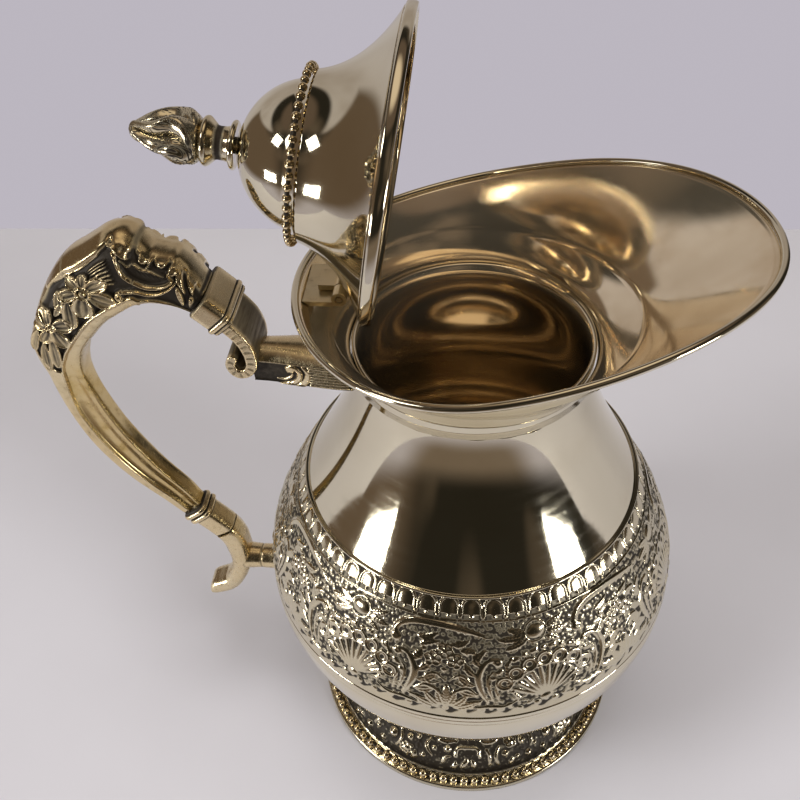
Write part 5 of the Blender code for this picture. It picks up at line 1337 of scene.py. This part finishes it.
def makeGrip():
    many, few = grip["rows"]
    turnAt = gripFrom + (gripTo - gripFrom) * 0.52
    runs = np.concatenate([np.linspace(gripFrom, turnAt, many)[:-1], np.linspace(turnAt, gripTo, few)])
    halfT, shift, halfW, thin, share = gripHalf(runs)
    halfT, shift = steadied(halfT), steadied(shift)
    grid, across, side = superRing(runs, halfT, halfW, grip["around"], shift, cheekShare=grip["crowd"])
    waist = 1 - grip["waist"] * thin[:, None] * (1 - across[None] ** 2)
    sideways = np.abs(side)[None] * np.ones_like(grid[..., 0])
    flank = smoothStep(sideways, 0.45, 0.92)
    ridgeAt = steadied(np.interp(share, gripFlange[:, 0], gripFlange[:, 1]))[:, None]
    # from the bright edge inwards the cheek is drawn in and leads into the hollow inner face
    q = np.clip((ridgeAt - across) / (ridgeAt + 1.0), 0, 1)
    channel = -(0.5 + 0.7 * thin)[:, None] * np.sin(np.pi * q ** 0.8) * flank
    ridge = grip["ridge"] * bump(across, ridgeAt, grip["edge"] / halfT[:, None]) * flank
    ridge = ridge * smoothStep(share, 0.02, 0.06)[:, None]
    draw, bed = drawGripSide()
    x, t = grid[..., 0] - sideCorner[0], sideCorner[1] - grid[..., 2]
    known = (t < sideSize[1] - 0.5) & (x > 0.3) & (x < sideSize[0] - 1)
    outside = known * smoothStep(across, ridgeAt + 0.02, ridgeAt + 0.10)
    relief, soft, ground = (readField(field, np.clip(x, 0, sideSize[0] - 1), t, draw.pitch, False) * outside
                            for field in (draw.blurred(0.10), draw.blurred(1.1), bed))
    # the knuckles are rounded across, and the lumps of leaf climb over their corners
    crown = grip["crown"] * np.abs(side)[None] ** 2.4 * ((1 - thin) * halfT)[:, None] + grip["drawnIn"]
    climb = relief * smoothStep(across, 0.72, 0.95)[None] * smoothStep(sideways, 0.5, 0.8) * grip["climb"]
    pushOut(grid, onRoute(runs)[1], climb - crown * smoothStep(across, 0.3, 1.0)[None])
    grid[..., 1] *= waist
    grid[..., 1] += np.sign(grid[..., 1]) * (channel + ridge + relief * flank)
    hollow = ground * np.clip(0.95 - (relief + 0.2) * 1.05, 0, 1) + np.clip((soft - relief) * 0.8, 0, 1)
    hollow = np.clip(hollow * flank, 0, 1)
    # dirt in the step between the knuckles and in the crease behind them
    for place, width, much in grip["creases"]:
        hollow = np.maximum(hollow, much * bump(share, place, width)[:, None] * (across > -0.4)[None])
    inner = smoothStep(-across, 0.55, 0.9)[None] * (0.34 - 0.2 * thin)[:, None]
    hollow = np.maximum(hollow, inner)
    hollow = np.maximum(hollow, 0.26 * thin[:, None] * bump(q, 0.8, 0.2) * flank)
    gold = np.clip(smoothStep(across, ridgeAt, ridgeAt - 0.1) * thin[:, None] + 0.25, 0, 1)
    # a plain tongue at each end runs into its ferrule
    tongues = []
    for at, start in ((gripFrom, gripFrom - grip["tongueLong"]), (gripTo, gripTo)):
        thick, wide = tongueHalf(at)
        span = np.array((start, start + grip["tongueLong"]))
        halves = np.full(2, thick), np.full(2, wide)
        tongues.append(superRing(span, *halves, grip["around"], cheekShare=grip["crowd"])[0])
    pad = np.full((2, grip["around"]), 0.6)
    marks = {"hollow": np.concatenate([pad, hollow, pad]), "gold": np.concatenate([pad, gold, pad])}
    mesh = tubeMesh("grip", np.concatenate([tongues[0], grid, tongues[1]]), marks=marks)
    addPiece("castGrip", mesh, handleBrass, nodes=["handle_grip"])


makeGrip()
print("grip cast")


# ferrules: a cup of box section at the strap and a ringed sleeve at the lower scroll
sharpFrom = math.radians(50)
# rings: place from the sleeve's start, half width and height
ferrule = {"gap": 0.3, "wall": 1.4, "upperLong": 10.0, "lowerLong": 15.5, "cheek": 0.7, "closed": 1.2,
           "plate": 0.28, "power": 0.30, "around": 120, "rows": 110, "boreRows": 10,
           "upperRings": ((2.2, 0.85, 0.5),), "lowerRings": ((1.6, 1.05, 1.0), (4.19, 1.05, 1.0))}


def makeFerrule(name, node, start, stop, at, rings, cheek, power, closed, plate):
    inT, inW = (half + ferrule["gap"] for half in tongueHalf(at))
    runs = np.linspace(start, stop, ferrule["rows"])
    grow = sum(high * roundOff((runs - start - place) / half) for place, half, high in rings)
    grow = grow - 0.30 * smoothStep(np.minimum(runs - start, stop - runs), 0.45, 0.0)
    grow = grow + ferrule["wall"]
    outer, across, side = superRing(runs, inT + grow, inW + cheek + grow, ferrule["around"], power=power)
    if plate:
        # the flat plate lapped over the top, between the ring and the grip
        lift = plate * (smoothStep(across, 0.80, 0.9) * smoothStep(np.abs(side), 0.95, 0.90))[None]
        ends = smoothStep(runs, start + 3.3, start + 3.6) * smoothStep(runs, stop - 0.5, stop - 0.8)
        pushOut(outer, onRoute(runs)[1], lift * ends[:, None])
    deep = ferrule["boreRows"]
    bore, _, _ = superRing(np.linspace(stop, start + closed, deep), np.full(deep, inT), np.full(deep, inW),
                           ferrule["around"])
    # dark in the grooves beside the rings, at the ends and a little on the cheeks
    groove = sum(bump(runs, start + place + step * (half + 0.15), 0.28)
                 for place, half, _ in rings for step in (-1, 1))
    groove = np.clip(groove * 0.95 + 0.5 * bump(runs, stop, 0.5) + 0.5 * bump(runs, start, 0.4), 0, 1)
    worn = np.clip(groove[:, None] + 0.16 * (np.abs(side) > 0.6)[None], 0, 1)
    hollow = np.concatenate([worn.ravel(), np.full(deep * ferrule["around"], 0.6)])
    mesh = tubeMesh(name, np.concatenate([outer, bore]), marks={"hollow": hollow}, wrapRows=closed == 0)
    mesh.set_sharp_from_angle(angle=sharpFrom)
    addPiece(name, mesh, brushedBrass, nodes=[node])


upperEnd, lowerStart = gripFrom - ferrule["gap"], gripTo + ferrule["gap"]
upperStart, lowerEnd = upperEnd - ferrule["upperLong"], lowerStart + ferrule["lowerLong"]
makeFerrule("upperSleeve", "upper_ferrule", upperStart, upperEnd, gripFrom, ferrule["upperRings"],
            ferrule["cheek"], ferrule["power"], ferrule["closed"], ferrule["plate"])
makeFerrule("lowerSleeve", "lower_ferrule", lowerStart, lowerEnd, gripTo, ferrule["lowerRings"], 0.0,
            grip["power"], 0, 0)


# scrolls: a flat strap rolled into the volute, and a rounded one that ends in a curl
strap = {"wide": 16.2, "thick": 3.8, "curl": 3.0, "corner": 0.6, "lowerWide": 10.4, "lowerThick": 8.4,
         "lowerCurl": 5.8, "lowerCorner": 3.2, "knob": 0.9, "rows": 200, "notchDeep": 0.10, "notchWave": 2.9}
strapEnd, lowerFrom = upperStart - ferrule["gap"], lowerEnd + ferrule["gap"]


def upperHalf(run):
    return blend(strap["curl"], strap["thick"], run / strapEnd) / 2


def lowerHalf(run):
    share = (run - lowerFrom) / (routeEnd - lowerFrom)
    knob = strap["knob"] * bump(share, 0.95, 0.14)
    return blend(strap["lowerThick"], strap["lowerCurl"], share) / 2 + knob


def strapRing(halfT, halfW, corner):
    # rounded block, finely divided so that its faces can carry marks; the last value tells the face
    corner = min(corner, halfT * 0.9, halfW * 0.9)
    ring = []
    for quarter, (signT, signW) in enumerate(((1, 1), (-1, 1), (-1, -1), (1, -1))):
        for a in math.pi / 2 * (quarter + np.arange(7) / 6):
            ring.append((signT * (halfT - corner) + corner * math.cos(a),
                         signW * (halfW - corner) + corner * math.sin(a), 0))
        onEdge = quarter in (0, 2)
        steps = 7 if onEdge else 17
        for k in range(1, steps):
            lean = 1 - 2 * k / steps
            if onEdge:
                ring.append((signT * (halfT - corner) * lean, signW * halfW, 1))
            else:
                ring.append((signT * halfT, signW * (halfW - corner) * lean, 2))
    return np.array(ring)


def makeStrap(name, node, start, stop, halfAt, halfW, corner, freeEnd, ticks):
    # the free end of the curl, the first row or the last, is closed in a half circle
    runs = np.linspace(start, stop, strap["rows"])
    halves = halfAt(runs)
    point, out = onRoute(runs)
    stations = list(zip(point, out, halves, runs))
    end, away, half, run = stations[freeEnd]
    onward = np.array((-away[1], away[0])) * (1 if freeEnd else -1)
    cap = []
    for k in range(1, 8):
        turn = math.pi / 2 * k / 7.4
        cap.append((end + onward * half * math.sin(turn), away, half * math.cos(turn), run))
    stations = stations + cap if freeEnd else cap[::-1] + stations
    rows, hollow = [], []
    for place, away, half, run in stations:
        ring = strapRing(half, halfW, corner)
        cut = math.sin(run * strap["notchWave"]) > 0.55
        notch = strap["notchDeep"] * cut * (ring[:, 2] == 1) if ticks else 0.0
        y = ring[:, 1] - np.sign(ring[:, 1]) * notch
        rows.append(np.stack([place[0] + away[0] * ring[:, 0], y, place[1] + away[1] * ring[:, 0]], -1))
        near = np.abs(ring[:, 1]) / halfW
        dark = (ring[:, 2] == 2) * smoothStep(near, 0.92, 0.78) * (0.62 if ticks else 0.08)
        dark = dark + (ring[:, 2] == 1) * (0.18 + 0.3 * cut if ticks else 0.12)
        hollow.append(dark)
    mesh = tubeMesh(name, np.array(rows), marks={"hollow": np.concatenate(hollow)})
    mesh.set_sharp_from_angle(angle=sharpFrom)
    addPiece(name, mesh, brushedBrass, nodes=[node])


makeStrap("upperScroll", "handle_upper_scroll", 0.0, strapEnd, upperHalf, strap["wide"] / 2, strap["corner"],
          0, True)
makeStrap("lowerScroll", "handle_lower_scroll", lowerFrom, routeEnd, lowerHalf, strap["lowerWide"] / 2,
          strap["lowerCorner"], -1, False)
print("scrolls bent")


# bracket: an arched block, its cheeks with a leaf curl and fine reeds towards the neck
bracket = {"drop": 11.0, "high": 12.0, "wide": 17.0, "crown": 3.0, "taperW": 0.66, "taperH": 0.95,
           "inset": 5.5, "reeds": 7, "deep": 0.55, "relief": 0.62, "leafAt": 14.5, "reedsFrom": 17.6,
           "sections": 190, "rows": 90}


def drawCheek(long):
    # drawn from the strap towards the neck, t down from the cheek's top edge
    draw = Relief(long, 10.0, 0.1, wraps=False)
    for k in range(bracket["reeds"]):
        t = 0.9 + k * 8.6 / bracket["reeds"]
        draw.stroke([(bracket["reedsFrom"] - 0.4 * math.cos(k), t), (long + 1.0, t)], 0.46, 1.0, (1.0, 1.0))
    at = bracket["leafAt"]
    draw.stroke([(at - 6.8, 8.8), (at - 3.0, 8.2), (at - 0.8, 6.4), (at - 0.2, 3.6), (at - 1.6, 1.7),
                 (at - 3.6, 1.9), (at - 3.6, 3.2)], 1.0, 1.3, (0.35, 0.7))
    draw.stroke([(at - 4.0, 9.2), (at - 0.4, 8.6), (at + 1.6, 6.6), (at + 2.3, 3.4), (at + 1.0, 0.9)], 1.1,
                1.25, (0.4, 0.5))
    draw.stroke([(at - 7.4, 7.0), (at - 5.0, 7.0), (at - 3.0, 5.6), (at - 2.4, 4.4)], 0.6, 0.8, (0.3, 0.4))
    draw.dome(at - 2.6, 2.8, 1.1, 1.1, 1.25, dimple=0.3)
    draw.stroke([(0.5, 9.3), (5.0, 9.2), (9.0, 9.0)], 0.4, 0.6, (0.8, 0.8))
    return draw


def makeBracket():
    start, stop = upperAnchor[0] - bracket["inset"], -(neckR + 1.2)
    crest = body["neckTop"] - bracket["drop"] + bracket["high"] / 2
    draw = drawCheek(stop - start)
    rows, hollows = [], []
    down, across = np.linspace(0, 1, bracket["rows"]), np.linspace(-1, 1, 41)
    fieldSharp, fieldSoft = draw.blurred(0.1), draw.blurred(0.8)
    for share in np.linspace(0, 1, bracket["sections"]):
        x = start + (stop - start) * share
        halfW = bracket["wide"] / 2 * blend(bracket["taperW"], 1.0, share)
        high = bracket["high"] * blend(bracket["taperH"], 1.0, share)
        along = np.full(down.shape, x - start)
        t = down * (high - bracket["crown"])
        relief = readField(fieldSharp, along, t, draw.pitch, False)
        soft = readField(fieldSoft, along, t, draw.pitch, False)
        cheekOut = halfW * (1 - 0.12 * down) + relief * bracket["relief"] - bracket["deep"]
        cheekOut = cheekOut + 0.5 * bump(down, 0, 0.05) + 0.4 * bump(down, 1, 0.04)
        cheekZ = crest - bracket["crown"] - (high - bracket["crown"]) * down
        topZ = crest - bracket["crown"] * np.abs(across) ** 2.2
        ring = [(x, y, z) for y, z in zip(cheekOut[0] * across, topZ)]
        ring += [(x, y, z) for y, z in zip(cheekOut[1:], cheekZ[1:])]
        ring += [(x, y * cheekOut[-1], crest - high - 0.3) for y in (0.8, 0.4, 0.0, -0.4, -0.8)]
        ring += [(x, -y, z) for y, z in zip(cheekOut[:0:-1], cheekZ[:0:-1])]
        rows.append(ring)
        dark = np.clip(0.75 - relief * 1.2 + np.clip(soft - relief, 0, 1), 0, 1)
        dark = np.where(t < 0.8, dark * 0.3, dark)[1:]
        top = 0.10 + 0.10 * np.abs(across) ** 4
        hollows.append(np.concatenate([top, dark, np.full(5, 0.5), dark[::-1]]))
    mesh = tubeMesh("bracket", np.array(rows), marks={"hollow": np.concatenate(hollows)})
    addPiece("reededBracket", mesh, brushedBrass, nodes=["handle_bracket"])


makeBracket()
stem = {"r": 5.2, "waist": 0.6, "grooveAt": 0.36, "grooveDeep": 0.25, "rows": 60, "around": 64}


def makeStem():
    # a round neck with a turned groove, from the lower curl into the belly's wall
    farX, nearX = lowerAnchor[0] + 1.5, -(stemFootR - 1.0)
    share = np.linspace(0, 1, stem["rows"])
    groove = bump(share, stem["grooveAt"], 0.02)
    waist = stem["waist"] * np.sin(np.pi * np.minimum(share * 1.25, 1))
    r = stem["r"] - waist - stem["grooveDeep"] * groove
    ring = polar(r[:, None], farX + (nearX - farX) * share[:, None], turnSteps(stem["around"]))
    grid = np.stack([ring[..., 2], ring[..., 0], route["stemZ"] + ring[..., 1]], -1)
    hollow = np.clip(0.7 * bump(share, 0.97, 0.04) + 0.6 * groove + 0.4 * bump(share, 0.0, 0.06), 0, 1)
    mesh = tubeMesh("stem", grid, marks={"hollow": np.repeat(hollow, stem["around"])})
    addPiece("handleStem", mesh, brushedBrass, nodes=["handle_stem"])


makeStem()
print("handle mounted")


# stage: pale table and wall, soft boxes either side behind the camera
paint = {"linen": (0.645, 0.64, 0.695), "cloth": (0.50, 0.47, 0.525), "clothDark": (0.20, 0.155, 0.12),
         "room": (0.023, 0.020, 0.015), "roomPale": (0.115, 0.088, 0.064), "leftSide": (0.135, 0.096, 0.066),
         "above": (0.125, 0.09, 0.066), "ceiling": (0.78, 0.64, 0.48), "wall": (0.50, 0.46, 0.45),
         "wallDark": (0.36, 0.31, 0.28), "lamp": (1.0, 0.985, 0.965)}


def stageMaterial(name, colour, roughness):
    made, tree, shader, place = newMaterial(name)
    cloud = noise(tree, place, 6.0, 4.0, 0.6)
    shade = mixColour(tree, cloud.step(0.3, 0.7), colour, tuple(c * 0.965 for c in colour))
    finishShader(tree, shader, shade, 0.0, roughness)
    return made


def addSheet(name, corners, material):
    mesh = bpy.data.meshes.new(name)
    mesh.from_pydata(corners, [], [(0, 1, 2, 3)])
    mesh.materials.append(material)
    newObject(name, mesh)


tablePaint = stageMaterial("table linen", paint["linen"], 0.6)
# in metres; the rear edge runs off a little
tableEdge = {"left": -0.66, "right": 0.84, "front": -0.195, "rear": 0.315, "turn": 0.035}
tableEnds = (tableEdge["left"], tableEdge["right"])
front = [(x, tableEdge["front"], 0) for x in tableEnds]
rear = [(x, tableEdge["rear"] + (x - axisX) * tableEdge["turn"], 0) for x in tableEnds]
addSheet("table", front + rear[::-1], tablePaint)


def softBox(name, place, wide, high, power, mirrored):
    # mirrored boxes show in the brass, the others only light the cloth
    light = bpy.data.lights.new(name, "AREA")
    light.shape = "RECTANGLE"
    light.size, light.size_y = wide, high
    light.energy = power
    light.color = paint["lamp"]
    made = newObject(name, light)
    made.location = place
    made.rotation_euler = (Vector((axisX, 0, 0.12)) - Vector(place)).to_track_quat("-Z", "Y").to_euler()
    made.visible_glossy = mirrored


for softBoxSize in (("leftWindow", (-1.05, -0.72, 0.10), 0.40, 0.22, 5, True),
                    ("rightWindow", (1.15, -0.66, 0.10), 0.40, 0.22, 5, True),
                    ("highWindow", (-1.0, -0.55, 1.15), 0.34, 0.30, 2.6, True),
                    ("leftSky", (-1.0, -0.55, 1.15), 0.55, 0.55, 8, False),
                    ("rightSky", (1.05, -0.75, 1.05), 0.55, 0.55, 11, False),
                    ("overhead", (0.05, 0.05, 1.75), 0.7, 0.7, 8, False)):
    softBox(*softBoxSize)


def makeRoom():
    # the cloth goes on below and rises pale behind the jug; the rest of the room is a softly lit brown
    world = bpy.data.worlds.new("room")
    world.use_nodes = True
    bpy.context.scene.world = world
    tree = world.node_tree
    where = makeNode(tree, "ShaderNodeTexCoord", None, None, "Generated")
    right, back, up = splitAxes(tree, where)
    soft = noise(tree, where, 1.7, 2.0, 0.45)
    room = mixColour(tree, soft.step(0.46, 0.70), paint["room"], paint["roomPale"])
    leftSide = (right * -1.0).step(0.45, 0.85) * (1.0 - up.step(0.50, 0.66))
    room = mixColour(tree, leftSide, room, paint["leftSide"])
    room = mixColour(tree, up.step(0.78, 0.86), room, paint["above"])
    room = mixColour(tree, up.step(0.91, 0.98), room, paint["ceiling"])
    high = (up - 0.28).math("MAXIMUM", 0.0) * 1.7
    behind = (back * 0.77 + right * 0.64 + high).step(-0.07, 0.07)
    behind = behind * (back * 0.6 - right * 0.8).step(-0.15, 0.15)
    behind = behind * (back + high * 0.4).step(0.05, 0.20) * (1.0 - up.step(0.62, 0.69))
    wall = mixColour(tree, soft.step(0.3, 0.7), paint["wall"], paint["wallDark"])
    room = mixColour(tree, behind, room, wall)
    front = (back * -1.0).step(0.48, 0.78) * up.step(-0.74, -0.48)
    cloth = mixColour(tree, front, paint["cloth"], paint["clothDark"])
    full = mixColour(tree, up.step(-0.38, -0.20), cloth, room)
    # straight to the camera it is plain and pale
    seen = makeNode(tree, "ShaderNodeLightPath", None, None, "Is Camera Ray")
    full = mixColour(tree, seen, full, paint["cloth"])
    tree.links.new(full.socket, tree.nodes["Background"].inputs["Color"])


makeRoom()

# camera, fitted to the circles of the foot, belly, seam and lid
view = {"place": (3.3, -190.6, 339.3), "look": (-0.09312, 0.70396, -0.70411),
        "up": (-0.03893, 0.70407, 0.70906), "focal": 880.7, "frame": 800, "sensor": 36.0}
lens = bpy.data.cameras.new("photoView")
lens.sensor_width = view["sensor"]
lens.lens = view["focal"] / view["frame"] * view["sensor"]
lens.clip_start, lens.clip_end = 0.01, 20.0
look = Vector(view["look"]).normalized()
rightward = look.cross(Vector(view["up"])).normalized()
upward = rightward.cross(look)
camera = newObject("photoView", lens)
stand = Vector(view["place"]) * mm + Vector((axisX, 0, 0))
camera.matrix_world = Matrix.Translation(stand) @ Matrix((rightward, upward, -look)).transposed().to_4x4()
bpy.context.scene.camera = camera
bpy.context.scene.view_settings.view_transform = "Standard"
